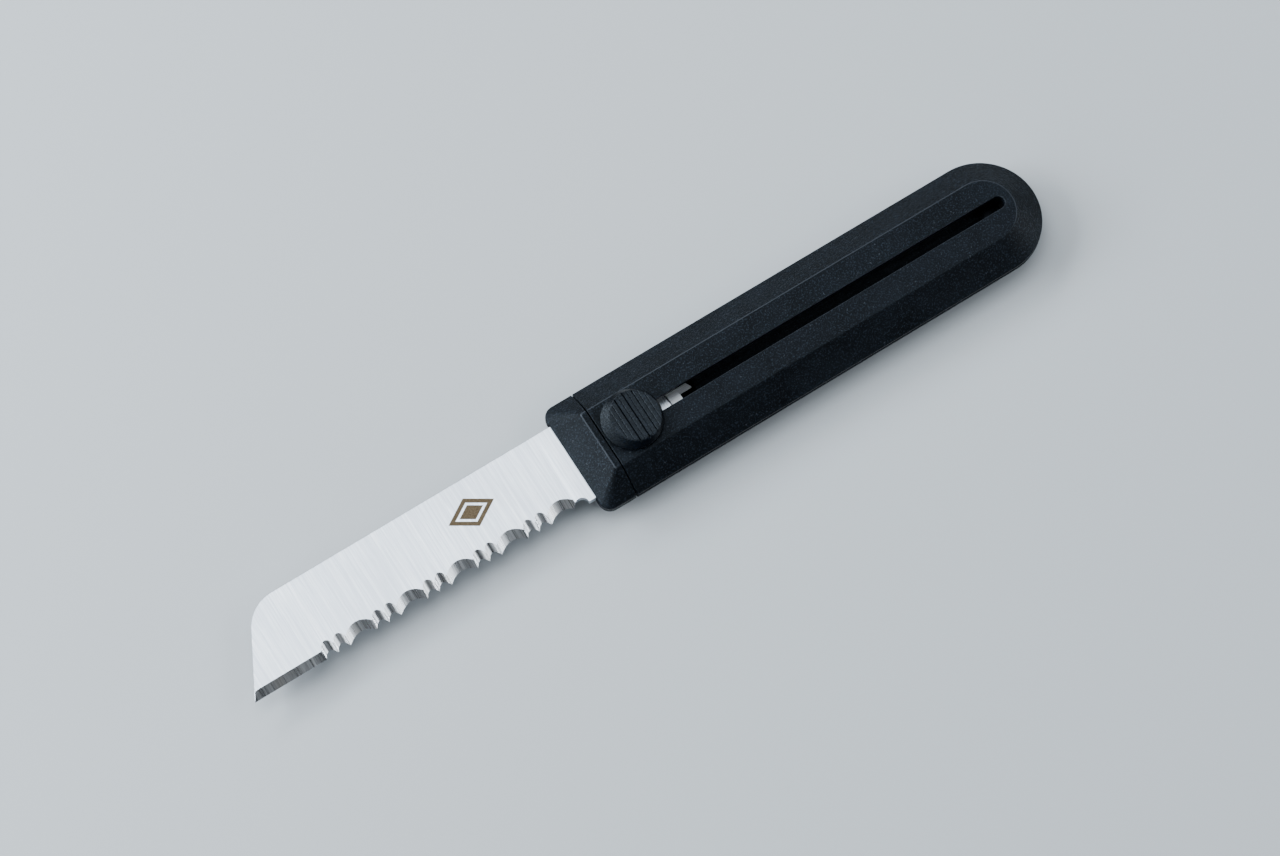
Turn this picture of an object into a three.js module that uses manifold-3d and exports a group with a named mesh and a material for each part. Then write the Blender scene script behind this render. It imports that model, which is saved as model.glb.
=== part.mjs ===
// Slide-out serrated rescue knife with a press-to-release thumb knob, blade fully out.
//
// Frame, in millimetres: the origin is on the handle's underside flat, at the middle of the
// handle's length. +X points to the blade tip, +Y to the cutting edge and +Z up to the knob.
// Stations along the knife are given as distances behind the front edge of the nose, so a
// negative station is out in front of the handle, on the exposed blade.

import * as THREE from "three";
import { mergeVertices } from "three/addons/utils/BufferGeometryUtils.js";
import Module from "manifold-3d";

const wasm = await Module();
wasm.setup();

// Handle outline: two shells behind a nose cap, octagonal in section, round at the butt
const HANDLE_LENGTH = 133.5;
const HANDLE_WIDTH = 30;
const HANDLE_HEIGHT = 13;
const FLAT_WIDTH = 16.2;
const BAND_HEIGHT = 2.5;
const MID_HEIGHT = HANDLE_HEIGHT / 2;
const BUTT_CENTRE = HANDLE_LENGTH - HANDLE_WIDTH / 2;
const NOSE_SEAM = 8.9;
const SEAM_GAP = 0.3;
const PARTING_GAP = 0.2;
const NOSE_RIDGE = 7.15;
const NOSE_CORNER_RADIUS = 3;
const RIDGE_CORNER_RADIUS = 0.35;

// Blade: one flat steel piece, its tang inside the handle
const BLADE_THICKNESS = 2;
const BLADE_SPINE = -10.95;
const BLADE_EDGE = 10.05;
const RICASSO_EDGE = 10.2;
const TIP_STATION = -94.4;
const TIP_SLANT = 27.5;
const SPINE_CORNER_RADIUS = 9.5;
const TANG_END = 27.95;
const GRIND_START = -4;
const SPINE_THICKNESS = 1.9;
const EDGE_THICKNESS = 1;
const BEVEL_HEIGHT = 2.2;

// Serrations: five groups of two small scallops and a wide one, ground from the knob's side
const SERRATION_START = -74.7;
const SERRATION_GROUPS = 5;
const SMALL_SCALLOP = { width: 3.3, wheelRadius: 2.35, sides: 28 };
const WIDE_SCALLOP = { width: 7.4, wheelRadius: 10, sides: 72 };
const WHEEL_LENGTH = 24;
const SCALLOP_TILT = 24;
const CHOIL_STATION = -3.6;
const CHOIL_RADIUS = 1.95;

// Travel and running room
const BLADE_TRAVEL = 96.5;
const KNOB_TRAVEL = 0.8;
const RUNNING_GAP = 0.35;
const SIDE_GAP = 0.4;
const PIECE_GAP = 0.3;
const BORE_GAP = 0.25;
const SNUG_GAP = 0.2;
const BUMPER_GAP = 0.15;

// Overlap of two shapes that are added together, and overrun of a cutter past the part it cuts
const WELD = 0.1;
const OVERRUN = 1;

// Slot in the upper face, and the channel under it that guides the slider block
const SLOT_WIDTH = 3.24;
const SLOT_FRONT = 11.9;
const SLOT_REAR = 124.4;
const ROOF_HEIGHT = 11.9;
const CHANNEL_HALF_WIDTH = 5.8;
const CHANNEL_REAR = 121.5;

// Thumb knob
const KNOB_STATION = 16.85;
const KNOB_RADIUS = 7.6;
const KNOB_FACE_RADIUS = 6.75;
const KNOB_BASE = 14;
const KNOB_TOP = 15.65;
const KNOB_RIM_HEIGHT = 14.9;
const KNOB_RAMP_STATION = 11.8;
const KNOB_GROOVE_PITCH = 1.18;
const KNOB_GROOVE_COUNT = 9;
const KNOB_GROOVE_START = 13.25;
const KNOB_RIM_CHAMFER = { run: 0.5, rise: 0.4 };
const KNOB_RAMP_FOOT = { reach: 1, drop: 0.5 };
const KNOB_GROOVE = { cutterRadius: 0.5, deep: 0.4, shallow: 0.25 };
const PRESS_PIN_STATION = 19.6;
const PRESS_PIN_HOLE_RADIUS = 1.5;
const RETURN_SPRING_STATION = 15.2;
const RETURN_SPRING = { radius: 1.6, wireRadius: 0.16, turns: 3, stepsPerTurn: 16, wellRadius: 2.2 };

const TANG_RADIUS = (RICASSO_EDGE - BLADE_SPINE) / 2;
const TANG_MIDDLE = (RICASSO_EDGE + BLADE_SPINE) / 2;
const TANG_CENTRE = TANG_END - TANG_RADIUS;
const BLADE_TOP = MID_HEIGHT + BLADE_THICKNESS / 2;
const BLADE_BOTTOM = MID_HEIGHT - BLADE_THICKNESS / 2;
const CHANNEL_FLOOR = BLADE_BOTTOM - RUNNING_GAP;
const CHANNEL_TOP = BLADE_TOP + RUNNING_GAP;
const CHANNEL_SPINE_SIDE = BLADE_SPINE - SIDE_GAP;
const CHANNEL_EDGE_SIDE = RICASSO_EDGE + SIDE_GAP;
const BLADE_STOP = TANG_END + BLADE_TRAVEL + RUNNING_GAP;

const radians = THREE.MathUtils.degToRad;
const xAt = (station) => HANDLE_LENGTH / 2 - station;

// ---- Solids ----

function solidOf(geometry) {
  const bare = geometry.index ? geometry.toNonIndexed() : geometry.clone();
  bare.deleteAttribute("normal");
  bare.deleteAttribute("uv");
  const merged = mergeVertices(bare);
  return new wasm.Manifold(
    new wasm.Mesh({
      numProp: 3,
      vertProperties: new Float32Array(merged.attributes.position.array),
      triVerts: new Uint32Array(merged.index.array),
    }),
  );
}

function box(front, rear, yLow, yHigh, zLow, zHigh) {
  const geometry = new THREE.BoxGeometry(rear - front, yHigh - yLow, zHigh - zLow);
  geometry.translate(xAt((front + rear) / 2), (yLow + yHigh) / 2, (zLow + zHigh) / 2);
  return solidOf(geometry);
}

function uprightRod(radius, station, y, zLow, zHigh, sides = 24) {
  const geometry = new THREE.CylinderGeometry(radius, radius, zHigh - zLow, sides);
  geometry.rotateX(Math.PI / 2);
  geometry.translate(xAt(station), y, (zLow + zHigh) / 2);
  return solidOf(geometry);
}

function lengthwiseRod(radius, front, rear, y, z, sides = 16) {
  const geometry = new THREE.CylinderGeometry(radius, radius, rear - front, sides);
  geometry.rotateZ(Math.PI / 2);
  geometry.translate(xAt((front + rear) / 2), y, z);
  return solidOf(geometry);
}

function crosswiseRod(radius, station, halfLength, z, sides = 12) {
  const geometry = new THREE.CylinderGeometry(radius, radius, 2 * halfLength, sides);
  geometry.translate(xAt(station), 0, z);
  return solidOf(geometry);
}

// A plan outline of [station, y] points, raised between two heights
function plate(outline, zLow, zHigh) {
  const shape = new THREE.Shape(outline.map(([station, y]) => new THREE.Vector2(xAt(station), y)));
  const geometry = new THREE.ExtrudeGeometry(shape, { depth: zHigh - zLow, bevelEnabled: false });
  geometry.translate(0, 0, zLow);
  return solidOf(geometry);
}

// A side outline of [station, z] points, extruded across the knife
function rail(outline, yLow, yHigh) {
  const shape = new THREE.Shape(outline.map(([station, z]) => new THREE.Vector2(xAt(station), z)));
  const geometry = new THREE.ExtrudeGeometry(shape, { depth: yHigh - yLow, bevelEnabled: false });
  geometry.rotateX(Math.PI / 2);
  geometry.translate(0, yHigh, 0);
  return solidOf(geometry);
}

// An end outline of [y, z] points, extruded along the knife
function bar(outline, front, rear) {
  const shape = new THREE.Shape(outline.map(([y, z]) => new THREE.Vector2(y, z)));
  const geometry = new THREE.ExtrudeGeometry(shape, { depth: rear - front, bevelEnabled: false });
  geometry.rotateX(Math.PI / 2);
  geometry.rotateZ(Math.PI / 2);
  geometry.translate(xAt(rear), 0, 0);
  return solidOf(geometry);
}

// Convex level rings of equal point count, counterclockwise from above, joined bottom to top
function loft(rings) {
  const count = rings[0].length;
  const faces = [];
  for (let level = 0; level < rings.length - 1; level += 1) {
    for (let i = 0; i < count; i += 1) {
      const a = level * count + i;
      const b = level * count + ((i + 1) % count);
      faces.push(a, b, b + count, a, b + count, a + count);
    }
  }
  const top = (rings.length - 1) * count;
  for (let i = 1; i < count - 1; i += 1) {
    faces.push(0, i + 1, i);
    faces.push(top, top + i, top + i + 1);
  }
  const geometry = new THREE.BufferGeometry();
  geometry.setAttribute("position", new THREE.Float32BufferAttribute(rings.flat(2), 3));
  geometry.setIndex(faces);
  return solidOf(geometry);
}

function arcPoints(centreX, centreY, radius, startAngle, endAngle, steps) {
  const points = [];
  for (let i = 0; i <= steps; i += 1) {
    const angle = radians(startAngle + ((endAngle - startAngle) * i) / steps);
    points.push([centreX + radius * Math.cos(angle), centreY + radius * Math.sin(angle)]);
  }
  return points;
}

// The octagonal section: full width in the upright band, narrowing to the two flats
function sectionLevels() {
  const bandLow = MID_HEIGHT - BAND_HEIGHT / 2;
  const bandHigh = MID_HEIGHT + BAND_HEIGHT / 2;
  return [
    { z: 0, half: FLAT_WIDTH / 2, isFlat: true },
    { z: bandLow, half: HANDLE_WIDTH / 2, isFlat: false },
    { z: bandHigh, half: HANDLE_WIDTH / 2, isFlat: false },
    { z: HANDLE_HEIGHT, half: FLAT_WIDTH / 2, isFlat: true },
  ];
}

// ---- Handle body ----

function handleBlock() {
  const front = xAt(NOSE_SEAM + SEAM_GAP / 2);
  const rings = sectionLevels().map(({ z, half }) => {
    const butt = arcPoints(xAt(BUTT_CENTRE), 0, half, 90, 270, 28);
    return [[front, -half], [front, half], ...butt].map(([x, y]) => [x, y, z]);
  });
  return loft(rings);
}

function noseBlock() {
  const rear = xAt(NOSE_SEAM - SEAM_GAP / 2);
  const rings = sectionLevels().map(({ z, half, isFlat }) => {
    const radius = isFlat ? RIDGE_CORNER_RADIUS : NOSE_CORNER_RADIUS;
    const centreX = xAt(isFlat ? NOSE_RIDGE : 0) - radius;
    const nearCorner = arcPoints(centreX, -half + radius, radius, -90, 0, 8);
    const farCorner = arcPoints(centreX, half - radius, radius, 0, 90, 8);
    return [[rear, -half], ...nearCorner, ...farCorner, [rear, half]].map(([x, y]) => [x, y, z]);
  });
  return loft(rings);
}

function bladeChannel(front, rear) {
  return box(front, rear, CHANNEL_SPINE_SIDE, CHANNEL_EDGE_SIDE, CHANNEL_FLOOR, CHANNEL_TOP);
}

function slotOutline() {
  const radius = SLOT_WIDTH / 2;
  const rearArc = arcPoints(SLOT_REAR - radius, 0, radius, -90, 90, 12);
  const frontArc = arcPoints(SLOT_FRONT + radius, 0, radius, 90, 270, 12);
  return [...rearArc, ...frontArc];
}

// Two C-shaped arms behind the nose that the shells close over, each with a retaining lip
const ARM = { halfWidth: 12.2, inner: 6, zLow: 4.3, zHigh: 8.7, rear: 12.6 };
const LIP = { inner: 6.2, outer: 10.5, zLow: 3.5, zHigh: 9.5, front: 11.4 };
const NOSE_PIN = { y: 13.6, radius: 0.6, front: 5.5, rear: 12.5 };
const NOSE_STOP = { halfWidth: 5.4, zLow: 8.2, zHigh: 11.5, rear: 10.6 };

function noseArms() {
  const root = NOSE_SEAM - OVERRUN;
  const arms = box(root, ARM.rear, -ARM.halfWidth, ARM.halfWidth, ARM.zLow, ARM.zHigh);
  const leftLip = box(LIP.front, ARM.rear, LIP.inner, LIP.outer, LIP.zLow, LIP.zHigh);
  const rightLip = box(LIP.front, ARM.rear, -LIP.outer, -LIP.inner, LIP.zLow, LIP.zHigh);
  const middle = box(NOSE_SEAM, ARM.rear + OVERRUN, -ARM.inner, ARM.inner, 0, HANDLE_HEIGHT);
  return arms.add(leftLip).add(rightLip).subtract(middle);
}

function armPocket() {
  const gap = PIECE_GAP;
  const rear = ARM.rear + gap;
  const halfWidth = ARM.halfWidth + gap;
  const pocket = box(NOSE_SEAM - OVERRUN, rear, -halfWidth, halfWidth, ARM.zLow - gap, ARM.zHigh + gap);
  const front = LIP.front - gap;
  const zLow = LIP.zLow - gap;
  const zHigh = LIP.zHigh + gap;
  const left = box(front, rear, LIP.inner - gap, LIP.outer + gap, zLow, zHigh);
  const right = box(front, rear, -LIP.outer - gap, -LIP.inner + gap, zLow, zHigh);
  const core = ARM.inner - gap;
  const middle = box(NOSE_SEAM - 2 * OVERRUN, rear + OVERRUN, -core, core, 0, HANDLE_HEIGHT);
  return pocket.subtract(middle).add(left).add(right);
}

function nosePinHole(side) {
  const { y, radius, front, rear } = NOSE_PIN;
  const hole = radius + SNUG_GAP;
  return lengthwiseRod(hole, front - PIECE_GAP, rear + PIECE_GAP, side * y, MID_HEIGHT);
}

function makeNoseCap() {
  const { halfWidth, zLow, zHigh, rear } = NOSE_STOP;
  const stopBar = box(NOSE_SEAM - OVERRUN, rear, -halfWidth, halfWidth, zLow, zHigh);
  return noseBlock()
    .add(noseArms())
    .add(stopBar)
    .subtract(bladeChannel(-OVERRUN, ARM.rear + OVERRUN))
    .subtract(nosePinHole(1))
    .subtract(nosePinHole(-1));
}

function makeNosePin(side) {
  const { y, radius, front, rear } = NOSE_PIN;
  return lengthwiseRod(radius, front, rear, side * y, MID_HEIGHT);
}

// Rear screw, driven up from a counterbore in the underside
const SCREW = { station: 128.7, headRadius: 1.7, headLow: 3.2, headHigh: 3.9, shankRadius: 1 };
const SCREW_TOP = 9.2;
const SCREW_RECESS = { width: 0.6, depth: 0.45, reachShare: 0.6 };
const COUNTERBORE = { radius: 2, top: 4.2 };

function screwHole() {
  const { station, shankRadius, headLow } = SCREW;
  const shank = uprightRod(shankRadius + BORE_GAP, station, 0, headLow, SCREW_TOP + PIECE_GAP);
  return shank.add(uprightRod(COUNTERBORE.radius, station, 0, -OVERRUN, COUNTERBORE.top));
}

function makeRearScrew() {
  const { station, headRadius, headLow, headHigh, shankRadius } = SCREW;
  const head = uprightRod(headRadius, station, 0, headLow, headHigh);
  const shank = uprightRod(shankRadius, station, 0, headHigh - WELD, SCREW_TOP, 16);
  const { width, depth, reachShare } = SCREW_RECESS;
  const reach = headRadius * reachShare;
  const recessTop = headLow + depth;
  const slotA = box(station - reach, station + reach, -width / 2, width / 2, 0, recessTop);
  const slotB = box(station - width / 2, station + width / 2, -reach, reach, 0, recessTop);
  return head.add(shank).subtract(slotA).subtract(slotB);
}

// Rubber bumper that the tang meets when the blade is fully in
const BUMPER = { front: BLADE_STOP + 0.1, rear: BLADE_STOP + 1.7, halfWidth: 5, zLow: 5, zHigh: 8 };

function bumperPocket() {
  const { rear, halfWidth, zLow, zHigh } = BUMPER;
  const gap = PIECE_GAP;
  const front = BLADE_STOP - OVERRUN;
  return box(front, rear + BUMPER_GAP, -halfWidth - gap, halfWidth + gap, zLow - gap, zHigh + gap);
}

function makeRearBumper() {
  const { front, rear, halfWidth, zLow, zHigh } = BUMPER;
  return box(front, rear, -halfWidth, halfWidth, zLow, zHigh);
}

// Everything between two heights, over the whole handle
function halfSpace(zLow, zHigh) {
  const rear = HANDLE_LENGTH + OVERRUN;
  return box(-OVERRUN, rear, -HANDLE_WIDTH, HANDLE_WIDTH, zLow, zHigh);
}

function makeUpperShell() {
  const parting = MID_HEIGHT + PARTING_GAP / 2;
  const half = CHANNEL_HALF_WIDTH;
  return handleBlock()
    .subtract(halfSpace(-OVERRUN, parting))
    .subtract(bladeChannel(NOSE_SEAM - OVERRUN, BLADE_STOP))
    .subtract(box(NOSE_SEAM - OVERRUN, CHANNEL_REAR, -half, half, MID_HEIGHT, ROOF_HEIGHT))
    .subtract(plate(slotOutline(), MID_HEIGHT, HANDLE_HEIGHT + OVERRUN))
    .subtract(armPocket())
    .subtract(nosePinHole(1))
    .subtract(nosePinHole(-1))
    .subtract(bumperPocket())
    .subtract(screwHole());
}

// ---- Springs, pads and their seats in the lower shell ----

// Lock spring: a riveted steel leaf under the tang, with a folded block right behind it whose
// front follows the tang's round end
const LOCK = {
  front: 10.2,
  leafBottom: 3.9,
  leafTop: 4.5,
  halfWidth: 3.6,
  blockFront: TANG_END - RUNNING_GAP,
  blockRear: 31.35,
  blockTop: 7.45,
  riser: 1.3,
  sheet: 0.6,
  tailBottom: 6,
  tailRear: 34.8,
};
const LOCK_TAIL = { yLow: -3.4, yHigh: -1.4, clip: 0.8 };
const LOCK_RIVET = { station: 12.4, y: 2.3 };
const LOCK_WELL = { front: 14.6, rear: 36, halfWidth: 4.6, floor: 2, seat: 3.6 };

// Park spring: a smaller leaf whose bump meets a dimple in the tang when the blade is in
const PARK = { front: 99.5, rear: 119, yLow: 4.3, yHigh: 8.7, leafBottom: 3.5, leafTop: 4 };
const PARK_BUMP = { station: 103, halfLength: 2.6, crest: 0.6, top: 5.15 };
const PARK_FLOOR = 3.2;
const PARK_RIVET = { station: 116.5, y: 6.5 };
const DIMPLE = { radius: 2.2, depth: 0.4 };

const RIVET = { shankRadius: 0.8, headRadius: 1.4, headHeight: 0.4, holeRadius: 1.05, foot: 2.2 };
const GLIDE_PAD = { front: 15.5, rear: 22.5, inner: 5.9, outer: 10.1, zLow: 4, zHigh: 5.3 };
const PIN_RUN = { halfWidth: 1.6, floor: 3.6, rear: 119.5 };

function rivet(station, y, leafTop) {
  const headLow = leafTop + SNUG_GAP;
  const shank = uprightRod(RIVET.shankRadius, station, y, RIVET.foot, headLow + WELD, 16);
  const head = uprightRod(RIVET.headRadius, station, y, headLow, headLow + RIVET.headHeight);
  return shank.add(head);
}

function rivetHole(station, y) {
  return uprightRod(RIVET.holeRadius, station, y, RIVET.foot - PIECE_GAP, CHANNEL_FLOOR, 16);
}

function lockSpringProfile() {
  const { front, leafBottom, leafTop, blockFront, blockRear, blockTop } = LOCK;
  const { riser, sheet, tailBottom } = LOCK;
  return [
    [front, leafBottom],
    [blockFront + riser, leafBottom],
    [blockFront + riser, blockTop - sheet],
    [blockRear - sheet, blockTop - sheet],
    [blockRear - sheet, tailBottom],
    [blockRear, tailBottom],
    [blockRear, blockTop],
    [blockFront, blockTop],
    [blockFront, leafTop],
    [front, leafTop],
  ];
}

function makeLockSpring() {
  const { halfWidth, blockRear, tailBottom, tailRear, sheet } = LOCK;
  const { yLow, yHigh, clip } = LOCK_TAIL;
  const tail = plate(
    [
      [blockRear - sheet / 2, yLow],
      [tailRear - clip, yLow],
      [tailRear, yHigh - clip / 2],
      [tailRear, yHigh],
      [blockRear - sheet / 2, yHigh],
    ],
    tailBottom,
    tailBottom + sheet,
  );
  const hollow = TANG_RADIUS + PIECE_GAP;
  const leafTop = LOCK.leafTop + SNUG_GAP;
  const tangRoom = uprightRod(hollow, TANG_CENTRE, TANG_MIDDLE, leafTop, CHANNEL_TOP, 96);
  return rail(lockSpringProfile(), -halfWidth, halfWidth)
    .add(tail)
    .subtract(tangRoom)
    .subtract(rivetHole(LOCK_RIVET.station, LOCK_RIVET.y))
    .subtract(rivetHole(LOCK_RIVET.station, -LOCK_RIVET.y));
}

function makeParkSpring() {
  const { front, rear, yLow, yHigh, leafBottom, leafTop } = PARK;
  const { station, halfLength, crest, top } = PARK_BUMP;
  const thickness = leafTop - leafBottom;
  const profile = [
    [front, leafBottom],
    [station - halfLength, leafBottom],
    [station - crest, top - thickness],
    [station + crest, top - thickness],
    [station + halfLength, leafBottom],
    [rear, leafBottom],
    [rear, leafTop],
    [station + halfLength, leafTop],
    [station + crest, top],
    [station - crest, top],
    [station - halfLength, leafTop],
    [front, leafTop],
  ];
  return rail(profile, yLow, yHigh).subtract(rivetHole(PARK_RIVET.station, PARK_RIVET.y));
}

function makeGlidePad(side) {
  const { front, rear, inner, outer, zLow, zHigh } = GLIDE_PAD;
  const yNear = side > 0 ? inner : -outer;
  return box(front, rear, yNear, yNear + outer - inner, zLow, zHigh);
}

function glidePadPocket(side) {
  const { front, rear, inner, outer, zLow, zHigh } = GLIDE_PAD;
  const gap = SNUG_GAP;
  const yNear = (side > 0 ? inner : -outer) - gap;
  return box(front - gap, rear + gap, yNear, yNear + outer - inner + 2 * gap, zLow - gap, zHigh);
}

function parkPocket(top) {
  const { front, rear, yLow, yHigh } = PARK;
  const gap = PIECE_GAP;
  return box(front - gap, rear + gap, yLow - gap, yHigh + gap, PARK_FLOOR, top);
}

function makeLowerShell() {
  const parting = MID_HEIGHT - PARTING_GAP / 2;
  const top = CHANNEL_FLOOR + PIECE_GAP;
  const well = LOCK_WELL;
  const run = PIN_RUN;
  return handleBlock()
    .subtract(halfSpace(parting, HANDLE_HEIGHT + OVERRUN))
    .subtract(bladeChannel(NOSE_SEAM - OVERRUN, BLADE_STOP))
    .subtract(box(NOSE_SEAM - OVERRUN, well.rear, -well.halfWidth, well.halfWidth, well.seat, top))
    .subtract(box(well.front, well.rear, -well.halfWidth, well.halfWidth, well.floor, top))
    .subtract(box(well.rear - OVERRUN, run.rear, -run.halfWidth, run.halfWidth, run.floor, top))
    .subtract(parkPocket(top))
    .subtract(rivetHole(PARK_RIVET.station, PARK_RIVET.y))
    .subtract(rivetHole(LOCK_RIVET.station, LOCK_RIVET.y))
    .subtract(rivetHole(LOCK_RIVET.station, -LOCK_RIVET.y))
    .subtract(glidePadPocket(1))
    .subtract(glidePadPocket(-1))
    .subtract(armPocket())
    .subtract(nosePinHole(1))
    .subtract(nosePinHole(-1))
    .subtract(bumperPocket())
    .subtract(screwHole());
}

// ---- Blade carriage ----

// Plan outline: straight spine, round shoulder, slanted front edge, straight cutting edge and a
// tang with a half-round end
function bladeOutline() {
  const slant = Math.tan(radians(TIP_SLANT));
  const shoulder = TIP_STATION + (BLADE_EDGE - BLADE_SPINE) * slant;
  const turn = 90 - TIP_SLANT;
  const arcStart = shoulder + SPINE_CORNER_RADIUS * Math.tan(radians(turn / 2));
  const arcCentre = [arcStart, BLADE_SPINE + SPINE_CORNER_RADIUS];
  return [
    ...arcPoints(...arcCentre, SPINE_CORNER_RADIUS, 270, 270 - turn, 14),
    [TIP_STATION, BLADE_EDGE],
    [CHOIL_STATION, BLADE_EDGE],
    [CHOIL_STATION, RICASSO_EDGE],
    ...arcPoints(TANG_CENTRE, TANG_MIDDLE, TANG_RADIUS, 90, -90, 24),
  ];
}

const gapAt = (y) => {
  const share = (y - BLADE_SPINE) / (BLADE_EDGE - BLADE_SPINE);
  return (SPINE_THICKNESS + (EDGE_THICKNESS - SPINE_THICKNESS) * share) / 2;
};

// Flat-ground cheeks: one wedge off each face, ending at the plunge line in front of the nose
function cheekGrind(side) {
  const far = HANDLE_WIDTH / 2;
  const outline = [
    [-far, MID_HEIGHT + side * gapAt(-far)],
    [far, MID_HEIGHT + side * gapAt(far)],
    [far, MID_HEIGHT + side * BLADE_THICKNESS],
    [-far, MID_HEIGHT + side * BLADE_THICKNESS],
  ];
  return bar(side > 0 ? outline : outline.reverse(), TIP_STATION - OVERRUN, GRIND_START);
}

// Chisel bevel from the upper cheek down to the edge on the lower cheek
function edgeBevel() {
  const top = BLADE_EDGE - BEVEL_HEIGHT;
  const zTop = MID_HEIGHT + gapAt(top);
  const zEdge = MID_HEIGHT - gapAt(BLADE_EDGE);
  const slope = (zTop - zEdge) / BEVEL_HEIGHT;
  const rise = OVERRUN * slope;
  const outline = [
    [top - OVERRUN, zTop + rise],
    [BLADE_EDGE + OVERRUN, zEdge - rise],
    [BLADE_EDGE + OVERRUN, zTop + rise],
  ];
  return bar(outline, TIP_STATION - OVERRUN, CHOIL_STATION);
}

function scallopCut(station, { width, wheelRadius, sides }) {
  const tilt = radians(SCALLOP_TILT);
  const lift = Math.sqrt(wheelRadius ** 2 - (width / 2) ** 2);
  const geometry = new THREE.CylinderGeometry(wheelRadius, wheelRadius, WHEEL_LENGTH, sides);
  geometry.rotateX(-tilt);
  geometry.translate(
    xAt(station),
    BLADE_EDGE + lift * Math.sin(tilt),
    MID_HEIGHT - gapAt(BLADE_EDGE) + lift * Math.cos(tilt),
  );
  return solidOf(geometry);
}

function serrationCuts() {
  const cuts = [];
  let station = SERRATION_START;
  for (let group = 0; group < SERRATION_GROUPS; group += 1) {
    for (const scallop of [SMALL_SCALLOP, SMALL_SCALLOP, WIDE_SCALLOP]) {
      cuts.push(scallopCut(station + scallop.width / 2, scallop));
      station += scallop.width;
    }
  }
  return cuts;
}

const SLIDER_RIVET = { station: 17, y: 4.25, shankRadius: 0.6, headRadius: 0.95, headHeight: 0.5 };
const RIVET_SINK = 0.3;
const RIVET_FOOT_SINK = 0.1;

function makeBlade() {
  let blade = plate(bladeOutline(), BLADE_BOTTOM, BLADE_TOP)
    .subtract(cheekGrind(1))
    .subtract(cheekGrind(-1))
    .subtract(edgeBevel())
    .subtract(uprightRod(CHOIL_RADIUS, CHOIL_STATION, RICASSO_EDGE, 0, HANDLE_HEIGHT))
    .subtract(uprightRod(PRESS_PIN_HOLE_RADIUS, PRESS_PIN_STATION, 0, 0, HANDLE_HEIGHT));
  for (const cut of serrationCuts()) {
    blade = blade.subtract(cut);
  }
  for (const side of [1, -1]) {
    const { station, y, shankRadius } = SLIDER_RIVET;
    const bore = shankRadius + BORE_GAP;
    blade = blade.subtract(uprightRod(bore, station, side * y, 0, HANDLE_HEIGHT, 16));
  }
  const dimpleStation = PARK_BUMP.station - BLADE_TRAVEL;
  const dimpleY = (PARK.yLow + PARK.yHigh) / 2;
  const dimpleTop = BLADE_BOTTOM + DIMPLE.depth;
  return blade.subtract(uprightRod(DIMPLE.radius, dimpleStation, dimpleY, 0, dimpleTop));
}

// Slider block on the tang: guides the carriage and houses the foot of the knob post
const SLIDER = { front: 10.9, rear: 23.4, halfWidth: 5.4, zLow: 7.75, zHigh: 11.6 };
const POST = { front: 12.8, rear: 21.2, halfWidth: 1.25, top: 14.7 };
const FLANGE = { halfWidth: 2.6, zLow: 10.85, zHigh: 11.6 };
const PRESS_PIN = { radius: 1.1, zLow: 4.8 };

function makeSliderBlock() {
  const { front, rear, halfWidth, zLow, zHigh } = SLIDER;
  const gap = PIECE_GAP;
  const pocketFloor = FLANGE.zLow - KNOB_TRAVEL - gap;
  const pocketHalf = FLANGE.halfWidth + gap;
  const top = HANDLE_HEIGHT;
  let block = box(front, rear, -halfWidth, halfWidth, zLow, zHigh)
    .subtract(box(POST.front - gap, POST.rear + gap, -pocketHalf, pocketHalf, pocketFloor, top))
    .subtract(uprightRod(RETURN_SPRING.wellRadius, RETURN_SPRING_STATION, 0, 0, top))
    .subtract(uprightRod(PRESS_PIN.radius + gap, PRESS_PIN_STATION, 0, 0, top));
  const sinkFloor = zHigh - RIVET_SINK - SLIDER_RIVET.headHeight - SNUG_GAP;
  for (const side of [1, -1]) {
    const { station, y, shankRadius, headRadius } = SLIDER_RIVET;
    block = block
      .subtract(uprightRod(shankRadius + SNUG_GAP, station, side * y, 0, top, 16))
      .subtract(uprightRod(headRadius + SNUG_GAP, station, side * y, sinkFloor, top, 16));
  }
  return block;
}

function makeSliderRivet(side) {
  const { station, y, shankRadius, headRadius, headHeight } = SLIDER_RIVET;
  const headHigh = SLIDER.zHigh - RIVET_SINK;
  const headLow = headHigh - headHeight;
  const foot = BLADE_BOTTOM + RIVET_FOOT_SINK;
  const shank = uprightRod(shankRadius, station, side * y, foot, headLow + WELD, 16);
  return shank.add(uprightRod(headRadius, station, side * y, headLow, headHigh, 16));
}

// ---- Knob ----

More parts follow.
